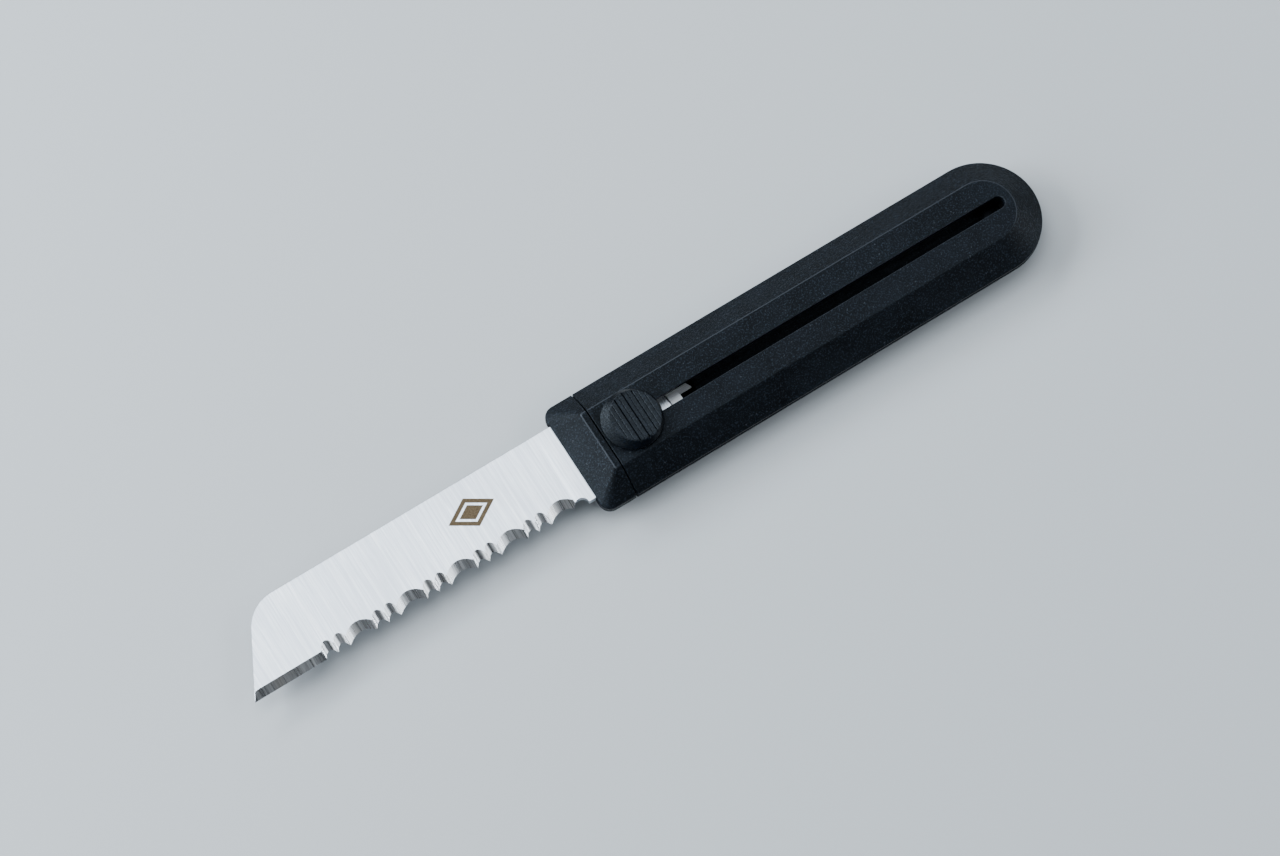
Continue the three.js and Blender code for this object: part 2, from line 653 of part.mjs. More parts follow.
function makeThumbKnob() {
  const profile = [
    [0, KNOB_BASE],
    [KNOB_RADIUS - KNOB_RIM_CHAMFER.run, KNOB_BASE],
    [KNOB_RADIUS, KNOB_BASE + KNOB_RIM_CHAMFER.rise],
    [KNOB_RADIUS, KNOB_RIM_HEIGHT],
    [KNOB_FACE_RADIUS, KNOB_TOP],
    [0, KNOB_TOP],
  ];
  const disc = new THREE.LatheGeometry(profile.map(([r, z]) => new THREE.Vector2(r, z)), 48);
  disc.rotateX(Math.PI / 2);
  disc.translate(xAt(KNOB_STATION), 0, 0);
  const rimFront = KNOB_STATION - KNOB_RADIUS;
  const rampFoot = rimFront - KNOB_RAMP_FOOT.reach;
  const ramp = rail(
    [
      [KNOB_RAMP_STATION, KNOB_TOP],
      [KNOB_RAMP_STATION, KNOB_TOP + OVERRUN],
      [rampFoot, KNOB_TOP + OVERRUN],
      [rampFoot, KNOB_RIM_HEIGHT - KNOB_RAMP_FOOT.drop],
    ],
    -KNOB_RADIUS,
    KNOB_RADIUS,
  );
  const gap = PIECE_GAP;
  const socket = box(
    POST.front - gap,
    POST.rear + gap,
    -POST.halfWidth - gap,
    POST.halfWidth + gap,
    KNOB_BASE - OVERRUN,
    POST.top + SNUG_GAP,
  );
  let knob = solidOf(disc).subtract(ramp).subtract(socket);
  for (let i = 0; i < KNOB_GROOVE_COUNT; i += 1) {
    const { cutterRadius, deep, shallow } = KNOB_GROOVE;
    const axis = KNOB_TOP + cutterRadius - (i % 2 === 0 ? deep : shallow);
    const station = KNOB_GROOVE_START + i * KNOB_GROOVE_PITCH;
    knob = knob.subtract(crosswiseRod(cutterRadius, station, KNOB_RADIUS, axis));
  }
  return knob;
}

// Steel T-post: blade-like neck in the slot, flange under the roof, press pin to the lock spring
function makeKnobPost() {
  const { front, rear, halfWidth, top } = POST;
  const neck = box(front, rear, -halfWidth, halfWidth, FLANGE.zLow, top);
  const flange = box(front, rear, -FLANGE.halfWidth, FLANGE.halfWidth, FLANGE.zLow, FLANGE.zHigh);
  const { radius, zLow } = PRESS_PIN;
  return neck.add(flange).add(uprightRod(radius, PRESS_PIN_STATION, 0, zLow, FLANGE.zLow + WELD));
}

class CoilCurve extends THREE.Curve {
  constructor(radius, turns, zLow, zHigh) {
    super();
    this.radius = radius;
    this.turns = turns;
    this.zLow = zLow;
    this.zHigh = zHigh;
  }

  getPoint(t, target = new THREE.Vector3()) {
    const angle = 2 * Math.PI * this.turns * t;
    const z = THREE.MathUtils.lerp(this.zLow, this.zHigh, t);
    const x = this.radius * Math.cos(angle);
    const y = this.radius * Math.sin(angle);
    return target.set(x, y, z);
  }
}

function makeReturnSpring() {
  const { radius, wireRadius, turns, stepsPerTurn } = RETURN_SPRING;
  const zLow = SLIDER.zLow + wireRadius;
  const coil = new CoilCurve(radius, turns, zLow, FLANGE.zLow - SNUG_GAP - wireRadius);
  const section = new THREE.Shape().absarc(0, 0, wireRadius, 0, 2 * Math.PI);
  const geometry = new THREE.ExtrudeGeometry(section, {
    steps: stepsPerTurn * turns,
    curveSegments: 6,
    extrudePath: coil,
    bevelEnabled: false,
  });
  geometry.translate(xAt(RETURN_SPRING_STATION), 0, 0);
  return solidOf(geometry);
}

// ---- Assembly ----

const FINISHES = {
  moulding: { color: 0x1a1d21, roughness: 0.62, metalness: 0 },
  knob: { color: 0x1d2024, roughness: 0.55, metalness: 0 },
  blade: { color: 0xc9ccd0, roughness: 0.32, metalness: 1 },
  spring: { color: 0xa9acb0, roughness: 0.3, metalness: 1 },
  fastener: { color: 0x9a9da1, roughness: 0.35, metalness: 1 },
  nylon: { color: 0x2a2c2f, roughness: 0.5, metalness: 0 },
  rubber: { color: 0x141414, roughness: 0.9, metalness: 0 },
};

function meshOf(name, solid, finish) {
  const { vertProperties, triVerts } = solid.getMesh();
  const geometry = new THREE.BufferGeometry();
  geometry.setAttribute("position", new THREE.BufferAttribute(vertProperties, 3));
  geometry.setIndex(new THREE.BufferAttribute(triVerts, 1));
  geometry.computeVertexNormals();
  const mesh = new THREE.Mesh(geometry, new THREE.MeshStandardMaterial(FINISHES[finish]));
  mesh.name = name;
  return mesh;
}

const handle = new THREE.Group();
handle.add(
  meshOf("upper_shell", makeUpperShell(), "moulding"),
  meshOf("lower_shell", makeLowerShell(), "moulding"),
  meshOf("nose_cap", makeNoseCap(), "moulding"),
  meshOf("nose_pin_left", makeNosePin(1), "fastener"),
  meshOf("nose_pin_right", makeNosePin(-1), "fastener"),
  meshOf("rear_screw", makeRearScrew(), "fastener"),
  meshOf("rear_bumper", makeRearBumper(), "rubber"),
  meshOf("lock_spring", makeLockSpring(), "spring"),
  meshOf("lock_rivet_left", rivet(LOCK_RIVET.station, LOCK_RIVET.y, LOCK.leafTop), "fastener"),
  meshOf("lock_rivet_right", rivet(LOCK_RIVET.station, -LOCK_RIVET.y, LOCK.leafTop), "fastener"),
  meshOf("park_spring", makeParkSpring(), "spring"),
  meshOf("park_rivet", rivet(PARK_RIVET.station, PARK_RIVET.y, PARK.leafTop), "fastener"),
  meshOf("glide_pad_left", makeGlidePad(1), "nylon"),
  meshOf("glide_pad_right", makeGlidePad(-1), "nylon"),
);

const carriage = new THREE.Group();
carriage.add(
  meshOf("blade", makeBlade(), "blade"),
  meshOf("slider_block", makeSliderBlock(), "nylon"),
  meshOf("slider_rivet_left", makeSliderRivet(1), "fastener"),
  meshOf("slider_rivet_right", makeSliderRivet(-1), "fastener"),
);

const knob = new THREE.Group();
knob.add(
  meshOf("thumb_knob", makeThumbKnob(), "knob"),
  meshOf("knob_post", makeKnobPost(), "spring"),
  meshOf("return_spring", makeReturnSpring(), "spring"),
);

const knife = new THREE.Group();
knife.add(handle, carriage, knob);

export default knife;
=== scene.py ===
"""Looks for the slide-out rescue knife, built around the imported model. Lengths are in metres.

Frame: +X to the blade tip, +Y to the cutting edge, +Z up through the thumb knob. A station is a
distance behind the front edge of the nose, so the exposed blade has negative stations.
"""

import math

import bmesh
import bpy
import numpy as np
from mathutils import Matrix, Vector


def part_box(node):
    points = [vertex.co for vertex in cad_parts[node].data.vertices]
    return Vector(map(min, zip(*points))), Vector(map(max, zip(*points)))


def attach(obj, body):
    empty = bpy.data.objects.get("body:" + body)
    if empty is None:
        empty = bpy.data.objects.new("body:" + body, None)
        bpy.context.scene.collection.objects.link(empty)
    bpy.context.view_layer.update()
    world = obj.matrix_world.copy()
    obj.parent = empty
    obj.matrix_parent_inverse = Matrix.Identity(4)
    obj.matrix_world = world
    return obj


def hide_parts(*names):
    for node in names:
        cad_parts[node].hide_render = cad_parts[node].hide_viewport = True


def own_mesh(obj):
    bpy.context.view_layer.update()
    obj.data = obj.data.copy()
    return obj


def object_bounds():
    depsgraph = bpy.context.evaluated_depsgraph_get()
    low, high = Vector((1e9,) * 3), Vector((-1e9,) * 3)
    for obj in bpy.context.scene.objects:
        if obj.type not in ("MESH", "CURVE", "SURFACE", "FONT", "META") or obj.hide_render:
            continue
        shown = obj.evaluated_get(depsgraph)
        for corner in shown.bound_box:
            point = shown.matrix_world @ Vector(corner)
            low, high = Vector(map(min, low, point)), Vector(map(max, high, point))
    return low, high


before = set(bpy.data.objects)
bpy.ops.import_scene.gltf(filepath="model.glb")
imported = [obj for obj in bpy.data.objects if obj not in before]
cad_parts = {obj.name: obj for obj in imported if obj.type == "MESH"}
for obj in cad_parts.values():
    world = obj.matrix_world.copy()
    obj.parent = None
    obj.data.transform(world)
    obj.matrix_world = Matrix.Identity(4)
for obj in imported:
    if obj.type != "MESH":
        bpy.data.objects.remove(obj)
cad_low, cad_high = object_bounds()

MM = 0.001

# Handle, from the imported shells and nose
shell_low, shell_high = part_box("upper_shell")
_, lower_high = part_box("lower_shell")
nose_low, nose_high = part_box("nose_cap")
HANDLE_TOP = shell_high.z
HALF_WIDTH = shell_high.y
BUTT_X = shell_low.x
NOSE_X = nose_high.x
MID_Z = HANDLE_TOP / 2
FLAT_HALF = 8.1 * MM
BAND_HALF = 1.25 * MM
SLOT_HALF = 1.62 * MM
SLOT_STATIONS = (11.9 * MM, 124.4 * MM)
SEAM_STATION = 8.9 * MM
SEAM_HALF = 0.15 * MM
RIDGE_STATION = 7.15 * MM
SKIN_INSET = 0.03 * MM
RIDGE_ROUND = 0.32 * MM
NOSE_RIDGE_ROUND = 0.4 * MM
SEAM_ROUND = 0.12 * MM
SEAM_WEB_DEPTH = 0.6 * MM
SEAM_WEB_INNER = 11 * MM
SEAM_WEB_START = 0.25 * MM
NOSE_FLAT_CORNER = 0.75 * MM
NOSE_SIDE_CORNER = 3.05 * MM
NOSE_ARMS_HALF = 13 * MM
NOSE_ARMS_HEIGHTS = (2 * MM, 12 * MM)
PARTING_ROUND = 0.22 * MM
SLOT_LIP = 0.22 * MM
PIN_CLEARANCE = 0.08 * MM

# Blade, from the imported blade
blade_low, blade_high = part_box("blade")
SPINE_Y = blade_low.y
TIP_X = blade_high.x
EDGE_Y = 10.05 * MM
RICASSO_Y = 10.2 * MM
TIP_SLANT = math.radians(27.5)
SHOULDER_RADIUS = 9.5 * MM
TANG_HALF = blade_high.z - MID_Z
SPINE_HALF = 0.95 * MM
EDGE_HALF = 0.5 * MM
BEVEL_HEIGHT = 2.2 * MM
BEVEL_DROOP = (-91.3 * MM, 0.5 * MM)
SERRATION_START = -74.7 * MM
SERRATION_GROUPS = 5
SMALL_SCALLOP = (3.3 * MM, 2.35 * MM)
WIDE_SCALLOP = (7.4 * MM, 10 * MM)
SCALLOP_TILT = math.radians(24)
CHOIL_STATION = -3.6 * MM
CHOIL_RADIUS = 1.95 * MM
PLUNGE_STATION = -3.1 * MM
PLUNGE_WIDTHS = (1 * MM, 1.85 * MM)
PRESS_PIN_STATION = 19.6 * MM
PRESS_PIN_HOLE_RADIUS = 1.5 * MM
SLIDER_RIVET_BORE = 0.85 * MM
EDGE_LAND = 0.025 * MM
SPINE_CHAMFER = 0.14 * MM
CHEEK_STEPS = 14
GROUND_STEPS = 6
TANG_RADIUS = (RICASSO_Y - SPINE_Y) / 2
TANG_MIDDLE = (RICASSO_Y + SPINE_Y) / 2
TANG_END = NOSE_X - blade_low.x
TANG_CENTRE = TANG_END - TANG_RADIUS
TIP_PITCH = 0.3 * MM
SCALLOP_PITCH = 0.14 * MM
TANG_PITCH = 0.6 * MM

# Etched mark on the upper cheek
MARK_STATION = -27 * MM
MARK_Y = -2.6 * MM
MARK_HALF_X = 6.4 * MM
MARK_HALF_Y = 4 * MM

# Knob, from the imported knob
knob_low, knob_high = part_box("thumb_knob")
KNOB_X = (knob_low.x + knob_high.x) / 2
KNOB_RADIUS = (knob_high.y - knob_low.y) / 2
KNOB_TOP = knob_high.z
KNOB_BASE = knob_low.z
KNOB_RIM = KNOB_BASE + 0.65 * MM
FACE_CENTRE = KNOB_X - 1.15 * MM
FACE_HALF_X = 6 * MM
FACE_HALF_Y = 6.55 * MM
GROOVE_PITCH = 1.18 * MM
GROOVE_FIRST = 12.05 * MM
GROOVE_COUNT = 10
DEEP_GROOVES = (3, 5, 7)
DEEP_GROOVE = (0.27 * MM, 0.19 * MM)
FINE_GROOVE = (0.09 * MM, 0.17 * MM)
KNOB_CREASE = 0.04 * MM
KNOB_ROWS = 260
POST_GAP = 0.3 * MM
POST_SOCKET_HALF = 1.55 * MM

# Lock spring: a riveted leaf, and a folded block of the same sheet with a lower tail
LOCK_BLOCK_STATION = 27.6 * MM
LOCK_REAR_STATION = 31.35 * MM
LOCK_SHEET = 0.6 * MM
LOCK_TAIL_RISE = 2.1 * MM
LOCK_RIVET_HOLE = 1.05 * MM
# Height and inset of each level of the sheet's section, in millimetres
LEAF_LEVELS = ((0, 0.06), (0.06, 0), (0.54, 0), (0.6, 0.06))
TAIL_LEVELS = ((0, 0.05), (0.05, 0), (0.55, 0), (0.6, 0.05))

# Return spring
WIRE_RADIUS = 0.16 * MM
COIL_TURNS = 4.5

# Camera, from the fit to the photo's edges
CAMERA_TARGET = (46.96 * MM, -1.09 * MM, 0)
CAMERA_AZIMUTH = math.radians(147.83)
CAMERA_ELEVATION = math.radians(71.76)
CAMERA_DISTANCE = 850 * MM
CAMERA_LENS = 98.1
SENSOR_WIDTH = 36

# Floor and lights: name, place and size in metres, power in watts
FLOOR_HALF = 3
FLOOR_GAP = 0.02 * MM
FLOOR_COLOR = (0.40, 0.415, 0.43, 1)
LIGHT_AIM = (0.045, 0, 0)
LIGHT_TINT = (0.86, 0.94, 1)
SOFTBOXES = (
    ("overhead", (0.12, -0.25, 1.15), (1.0, 0.7), 11.8),
    ("tip_side", (0.86, -0.51, 0.57), (0.7, 0.5), 25),
    ("tip_low", (1.04, -0.1, 0.26), (0.4, 0.3), 4),
    ("edge_tip", (1.0, 0.48, 0.3), (0.35, 0.3), 2.5),
    ("back", (0.29, -1.0, 0.7), (1.1, 0.26), 12.5),
    ("butt_high", (-0.7, -0.08, 0.74), (0.75, 0.22), 2.5),
    ("butt_side", (-0.58, 0.45, 0.72), (0.65, 0.35), 3.6),
    ("butt_low", (-0.93, 0.42, 0.15), (0.3, 0.2), 4),
)
WORLD_TINT = (0.85, 0.92, 1, 1)
WORLD_STRENGTH = 0.06

# Colours of the materials
MOULDING_TINT = (0.78, 0.89, 1, 1)
SPECK = (0.05, 0.056, 0.066, 1)
# Lighter colour of the worn ridges, which also paints their highlight
BURNISHED_HIGHLIGHT = (0.034, 0.038, 0.045, 1)
SATIN_DARK = (0.50, 0.535, 0.59, 1)
SATIN_LIGHT = (0.86, 0.885, 0.93, 1)
SATIN_STREAK = (0.50, 0.54, 0.60, 1)
SATIN_CLOUD = (0.58, 0.61, 0.66, 1)
ETCH_DARK = (0.066, 0.047, 0.028, 1)
ETCH_LIGHT = (0.115, 0.086, 0.054, 1)
GROUND_DARK = (0.38, 0.385, 0.405, 1)
GROUND_LIGHT = (0.88, 0.885, 0.905, 1)
GROUND_WARM = (0.56, 0.50, 0.43, 1)
ROLLED_STEEL = (0.78, 0.79, 0.81, 1)
TURNED_STEEL = (0.5, 0.51, 0.53, 1)
NYLON = (0.02, 0.021, 0.023, 1)
RUBBER = (0.02, 0.02, 0.02, 1)

# Points closer than this are one point
WELD = 1e-7
BLADE_WELD = 2e-7

# Rows stop just short of the round ends, where a section would have no width
NEAR_END = 0.99999
NEAR_RIM = 0.99995
KNOB_ROW_REACH = 0.9999
SHORTEST_SECTION = 1e-6


def x_at(station):
    return NOSE_X - station


def x_station(x):
    return NOSE_X - x


# ---- Camera, floor and light ----


def make_camera():
    level = math.cos(CAMERA_ELEVATION)
    back = Vector(
        (
            math.sin(CAMERA_AZIMUTH) * level,
            -math.cos(CAMERA_AZIMUTH) * level,
            math.sin(CAMERA_ELEVATION),
        )
    )
    data = bpy.data.cameras.new("camera")
    data.sensor_width = SENSOR_WIDTH
    data.lens = CAMERA_LENS
    data.clip_start = 0.05
    data.clip_end = 20
    camera = bpy.data.objects.new("camera", data)
    bpy.context.scene.collection.objects.link(camera)
    camera.location = Vector(CAMERA_TARGET) + back * CAMERA_DISTANCE
    camera.rotation_mode = "QUATERNION"
    camera.rotation_quaternion = (-back).to_track_quat("-Z", "Y")
    bpy.context.scene.camera = camera


def make_floor():
    half = FLOOR_HALF
    mesh = bpy.data.meshes.new("floor")
    corners = [(-half, -half, 0), (half, -half, 0), (half, half, 0), (-half, half, 0)]
    mesh.from_pydata(corners, [], [(0, 1, 2, 3)])
    floor = bpy.data.objects.new("floor", mesh)
    bpy.context.scene.collection.objects.link(floor)
    floor.location.z = cad_low.z - FLOOR_GAP
    material = bpy.data.materials.new("floor_paper")
    material.use_nodes = True
    shader = material.node_tree.nodes["Principled BSDF"]
    shader.inputs["Base Color"].default_value = FLOOR_COLOR
    shader.inputs["Roughness"].default_value = 0.85
    shader.inputs["Specular IOR Level"].default_value = 0.2
    mesh.materials.append(material)


def add_softbox(name, place, size, power):
    data = bpy.data.lights.new(name, "AREA")
    data.shape = "RECTANGLE"
    data.size, data.size_y = size
    data.energy = power
    data.color = LIGHT_TINT
    light = bpy.data.objects.new(name, data)
    bpy.context.scene.collection.objects.link(light)
    light.location = place
    aim = Vector(LIGHT_AIM) - Vector(place)
    light.rotation_mode = "QUATERNION"
    light.rotation_quaternion = aim.to_track_quat("-Z", "Y")


def make_lights():
    for softbox in SOFTBOXES:
        add_softbox(*softbox)
    world = bpy.data.worlds.new("studio")
    world.use_nodes = True
    background = world.node_tree.nodes["Background"]
    background.inputs["Color"].default_value = WORLD_TINT
    background.inputs["Strength"].default_value = WORLD_STRENGTH
    bpy.context.scene.world = world


# ---- Node helpers ----


class Nodes:
    """A small wrapper that adds nodes to one material and links them."""

    def __init__(self, name, metallic=0.0, roughness=0.5, specular=0.5):
        self.material = bpy.data.materials.new(name)
        self.material.use_nodes = True
        self.tree = self.material.node_tree
        self.shader = self.tree.nodes["Principled BSDF"]
        self.shader.inputs["Metallic"].default_value = metallic
        self.shader.inputs["Roughness"].default_value = roughness
        self.shader.inputs["Specular IOR Level"].default_value = specular
        self.place = self.add("ShaderNodeTexCoord").outputs["Object"]

    def add(self, kind, **settings):
        node = self.tree.nodes.new(kind)
        for key, value in settings.items():
            setattr(node, key, value)
        return node

    def link(self, source, target):
        self.tree.links.new(source, target)

    def feed(self, socket, value):
        if isinstance(value, (int, float, tuple)):
            socket.default_value = value
        else:
            self.link(value, socket)

    def stretch(self, scale, turn=(0, 0, 0)):
        node = self.add("ShaderNodeMapping")
        node.inputs["Scale"].default_value = scale
        node.inputs["Rotation"].default_value = turn
        self.link(self.place, node.inputs["Vector"])
        return node.outputs["Vector"]

    def noise(self, vector, scale, detail=2.0, rough=0.5):
        node = self.add("ShaderNodeTexNoise")
        node.inputs["Scale"].default_value = scale
        node.inputs["Detail"].default_value = detail
        node.inputs["Roughness"].default_value = rough
        self.link(vector, node.inputs["Vector"])
        return node.outputs["Fac"]

    def math(self, operation, a, b=0.0, c=0.0):
        node = self.add("ShaderNodeMath", operation=operation)
        for socket, value in zip(node.inputs, (a, b, c)):
            self.feed(socket, value)
        return node.outputs["Value"]

    def remap(self, value, low, high, to_low, to_high):
        node = self.add("ShaderNodeMapRange")
        self.link(value, node.inputs["Value"])
        node.inputs["From Min"].default_value = low
        node.inputs["From Max"].default_value = high
        node.inputs["To Min"].default_value = to_low
        node.inputs["To Max"].default_value = to_high
        return node.outputs["Result"]

    def mix(self, share, a, b):
        node = self.add("ShaderNodeMix", data_type="RGBA")
        self.feed(node.inputs["Factor"], share)
        self.feed(node.inputs["A"], a)
        self.feed(node.inputs["B"], b)
        return node.outputs["Result"]

    def bump(self, height, distance, strength=1.0):
        node = self.add("ShaderNodeBump")
        node.inputs["Strength"].default_value = strength
        node.inputs["Distance"].default_value = distance
        self.link(height, node.inputs["Height"])
        return node.outputs["Normal"]

    def axes(self):
        node = self.add("ShaderNodeSeparateXYZ")
        self.link(self.place, node.inputs["Vector"])
        return node.outputs["X"], node.outputs["Y"], node.outputs["Z"]

    def out(self, **sockets):
        names = {"color": "Base Color", "roughness": "Roughness", "normal": "Normal"}
        for key, value in sockets.items():
            self.feed(self.shader.inputs[names[key]], value)
        return self.material


# ---- Materials ----


def ridge_wear_and_highlight(n):
    """1 along the worn ridges, which also carry a painted highlight; weak along the side toward
    the edge, which gets no highlight; 0 on the faces.
    """
    coordinates = n.add("ShaderNodeTexCoord")
    parts = n.add("ShaderNodeSeparateXYZ")
    n.link(coordinates.outputs["Normal"], parts.inputs["Vector"])
    level = n.math("ABSOLUTE", parts.outputs["Z"])
    above = n.remap(level, 0.885, 0.91, 0, 1)
    below = n.remap(level, 0.98, 0.995, 1, 0)
    # Painted highlight is kept off the ridges on the cutting-edge side, where the light doesn't
    # catch them
    forward = n.math("ABSOLUTE", parts.outputs["X"])
    side = n.math("MULTIPLY_ADD", forward, -1.2, parts.outputs["Y"])
    handled = n.remap(side, -0.1, 0.15, 1, 0.1)
    return n.math("MULTIPLY", n.math("MULTIPLY", above, below), handled)


def moulding(name, color, light, roughness, grain_depth, specular, burnish_highlight):
    """Black glass-filled nylon: spark-eroded grain, pale specks, worn along its ridges, where a
    lighter colour also paints a highlight.
    """
    n = Nodes(name, specular=specular)
    n.shader.inputs["Specular Tint"].default_value = MOULDING_TINT
    plain = n.stretch((1, 1, 1))
    grain = n.noise(plain, 2400, 3, 0.7)
    pores = n.noise(plain, 1100, 2, 0.5)
    specks = n.noise(plain, 1500, 1, 0.5)
    cloud = n.noise(plain, 95, 3, 0.6)
    handled = n.noise(plain, 28, 2, 0.5)
    wear_and_highlight = ridge_wear_and_highlight(n)
    height = n.math("MULTIPLY_ADD", pores, 0.45, grain)
    normal = n.bump(height, grain_depth)
    tone = n.mix(n.remap(cloud, 0.3, 0.7, 0, 0.2), color, light)
    tone = n.mix(n.remap(grain, 0.53, 0.63, 0, 1), tone, light)
    tone = n.mix(n.remap(specks, 0.72, 0.8, 0, 0.5), tone, SPECK)
    # Painted highlight: the worn ridges get a lighter colour, strongest on the far side
    tone = n.mix(n.math("MULTIPLY", wear_and_highlight, burnish_highlight), tone, BURNISHED_HIGHLIGHT)
    rough = n.math("ADD", n.remap(handled, 0.3, 0.7, -0.05, 0.05), roughness)
    rough = n.math("ADD", n.remap(grain, 0.35, 0.65, 0.1, -0.1), rough)
    rough = n.math("MULTIPLY_ADD", wear_and_highlight, -0.25 * burnish_highlight, rough)
    return n.out(color=tone, roughness=rough, normal=normal)


def etched_mark(n):
    """Mask of a plain etched lozenge inside a lozenge frame, on the blade's upper cheek."""
    x, y, z = n.axes()
    along = n.math("ABSOLUTE", n.math("SUBTRACT", x, x_at(MARK_STATION)))
    across = n.math("ABSOLUTE", n.math("SUBTRACT", y, MARK_Y))
    along = n.math("DIVIDE", along, MARK_HALF_X)
    across = n.math("DIVIDE", across, MARK_HALF_Y)
    slant = n.math("ADD", along, across)
    inside = n.remap(slant, 0.985, 1.015, 1, 0)
    frame_edge = n.remap(slant, 0.68, 0.71, 0, 1)
    core = n.remap(slant, 0.5, 0.53, 1, 0)
    body = n.math("MULTIPLY", inside, n.math("MAXIMUM", frame_edge, core))
    upper = n.math("GREATER_THAN", z, MID_Z)
    return n.math("MULTIPLY", body, upper)


def blade_satin():
    """Satin steel, belt-ground across the blade, with a brown etched mark on the upper cheek."""
    n = Nodes("blade_satin", metallic=1, roughness=0.34)
    lines = n.noise(n.stretch((2600, 70, 70)), 1, 3, 0.6)
    streaks = n.noise(n.stretch((850, 24, 24)), 1, 3, 0.6)
    cloud = n.noise(n.stretch((1, 1, 1)), 70, 3, 0.55)
    fine = n.noise(n.stretch((1, 1, 1)), 2600, 2, 0.5)
    tone = n.mix(n.remap(lines, 0.35, 0.65, 0, 1), SATIN_DARK, SATIN_LIGHT)
    tone = n.mix(n.remap(streaks, 0.42, 0.66, 0, 0.5), tone, SATIN_STREAK)
    tone = n.mix(n.remap(cloud, 0.35, 0.75, 0, 0.4), tone, SATIN_CLOUD)
    mark = etched_mark(n)
    brown = n.mix(n.remap(fine, 0.3, 0.7, 0, 1), ETCH_DARK, ETCH_LIGHT)
    tone = n.mix(mark, tone, brown)
    rough = n.remap(lines, 0.25, 0.75, 0.29, 0.43)
    rough = n.math("MULTIPLY_ADD", cloud, 0.08, rough)
    rough = n.math("MULTIPLY_ADD", mark, 0.2, rough)
    height = n.math("MULTIPLY_ADD", streaks, 0.35, lines)
    height = n.math("MULTIPLY_ADD", mark, -0.8, height)
    return n.out(color=tone, roughness=rough, normal=n.bump(height, 0.0000028, 0.9))


def ground_steel():
    """Coarser cross-ground steel of the bevel and the scallops."""
    n = Nodes("ground_steel", metallic=1, roughness=0.3)
    lines = n.noise(n.stretch((3400, 60, 60)), 1, 4, 0.7)
    bands = n.noise(n.stretch((1500, 24, 24)), 1, 3, 0.6)
    warm = n.noise(n.stretch((240, 60, 60)), 1, 1, 0.5)
    tone = n.mix(n.remap(lines, 0.3, 0.7, 0, 1), GROUND_DARK, GROUND_LIGHT)
    tone = n.mix(n.remap(warm, 0.52, 0.75, 0, 0.35), tone, GROUND_WARM)
    rough = n.remap(bands, 0.3, 0.7, 0.22, 0.38)
    height = n.math("MULTIPLY_ADD", bands, 0.7, lines)
    return n.out(color=tone, roughness=rough, normal=n.bump(height, 0.000014, 0.9))


def plain_steel(name, color, roughness, direction):
    """Rolled or turned steel of the hidden springs and fasteners, with fine drawn lines."""
    n = Nodes(name, metallic=1, roughness=roughness)
    lines = n.noise(n.stretch(direction), 1, 3, 0.6)
    blotch = n.noise(n.stretch((1, 1, 1)), 420, 3, 0.6)
    dark = tuple(0.72 * c for c in color[:3]) + (1,)
    tone = n.mix(n.remap(lines, 0.3, 0.7, 0, 1), dark, color)
    tone = n.mix(n.remap(blotch, 0.45, 0.8, 0, 0.3), tone, dark)
    rough = n.math("MULTIPLY_ADD", blotch, 0.16, roughness - 0.06)
    return n.out(color=tone, roughness=rough, normal=n.bump(lines, 0.000004, 0.7))


def soft_polymer(name, color, roughness, scale):
    """Nylon pads and blocks, and the rubber bumper: soft mottling and a fine skin."""
    n = Nodes(name, roughness=roughness, specular=0.4)
    skin = n.noise(n.stretch((1, 1, 1)), scale, 3, 0.6)
    cloud = n.noise(n.stretch((1, 1, 1)), 160, 2, 0.5)
    light = tuple(1.6 * c for c in color[:3]) + (1,)
    tone = n.mix(n.remap(cloud, 0.35, 0.7, 0, 0.5), color, light)
    rough = n.math("MULTIPLY_ADD", skin, 0.18, roughness - 0.08)
    return n.out(color=tone, roughness=rough, normal=n.bump(skin, 0.00001, 0.8))


# ---- Mesh helpers ----


def new_piece(name, bm, materials):
    mesh = bpy.data.meshes.new(name)
    bm.to_mesh(mesh)
    bm.free()
    for material in materials:
        mesh.materials.append(material)
    piece = bpy.data.objects.new(name, mesh)
    bpy.context.scene.collection.objects.link(piece)
    return piece


def finish_normals(piece, angle):
    """Smooth shading that keeps creases above the angle, with flat faces kept flat."""
    piece.data.shade_smooth()
    piece.data.set_sharp_from_angle(angle=math.radians(angle))
    modifier = piece.modifiers.new("normals", "WEIGHTED_NORMAL")
    modifier.keep_sharp = True
    modifier.weight = 60


def loft(bm, rings, across_seam=False):
    """Joins rings of equal point count into a solid.

    Normally the first and last ring are capped. Across a seam the rings run from the seam plane
    round to the seam plane again, the outer two close on themselves, and one face fills the seam.
    """
    rows = [[bm.verts.new(point) for point in ring] for ring in rings]
    count = len(rows[0])
    sides = count - 1 if across_seam else count
    for lower, upper in zip(rows, rows[1:]):
        for i in range(sides):
            j = (i + 1) % count
            bm.faces.new((lower[i], lower[j], upper[j], upper[i]))
    if across_seam:
        bm.faces.new([row[0] for row in rows] + [row[-1] for row in reversed(rows)])
    else:
        bm.faces.new(list(reversed(rows[0])))
        bm.faces.new(rows[-1])
    bmesh.ops.remove_doubles(bm, verts=bm.verts, dist=WELD)
    bmesh.ops.recalc_face_normals(bm, faces=bm.faces)


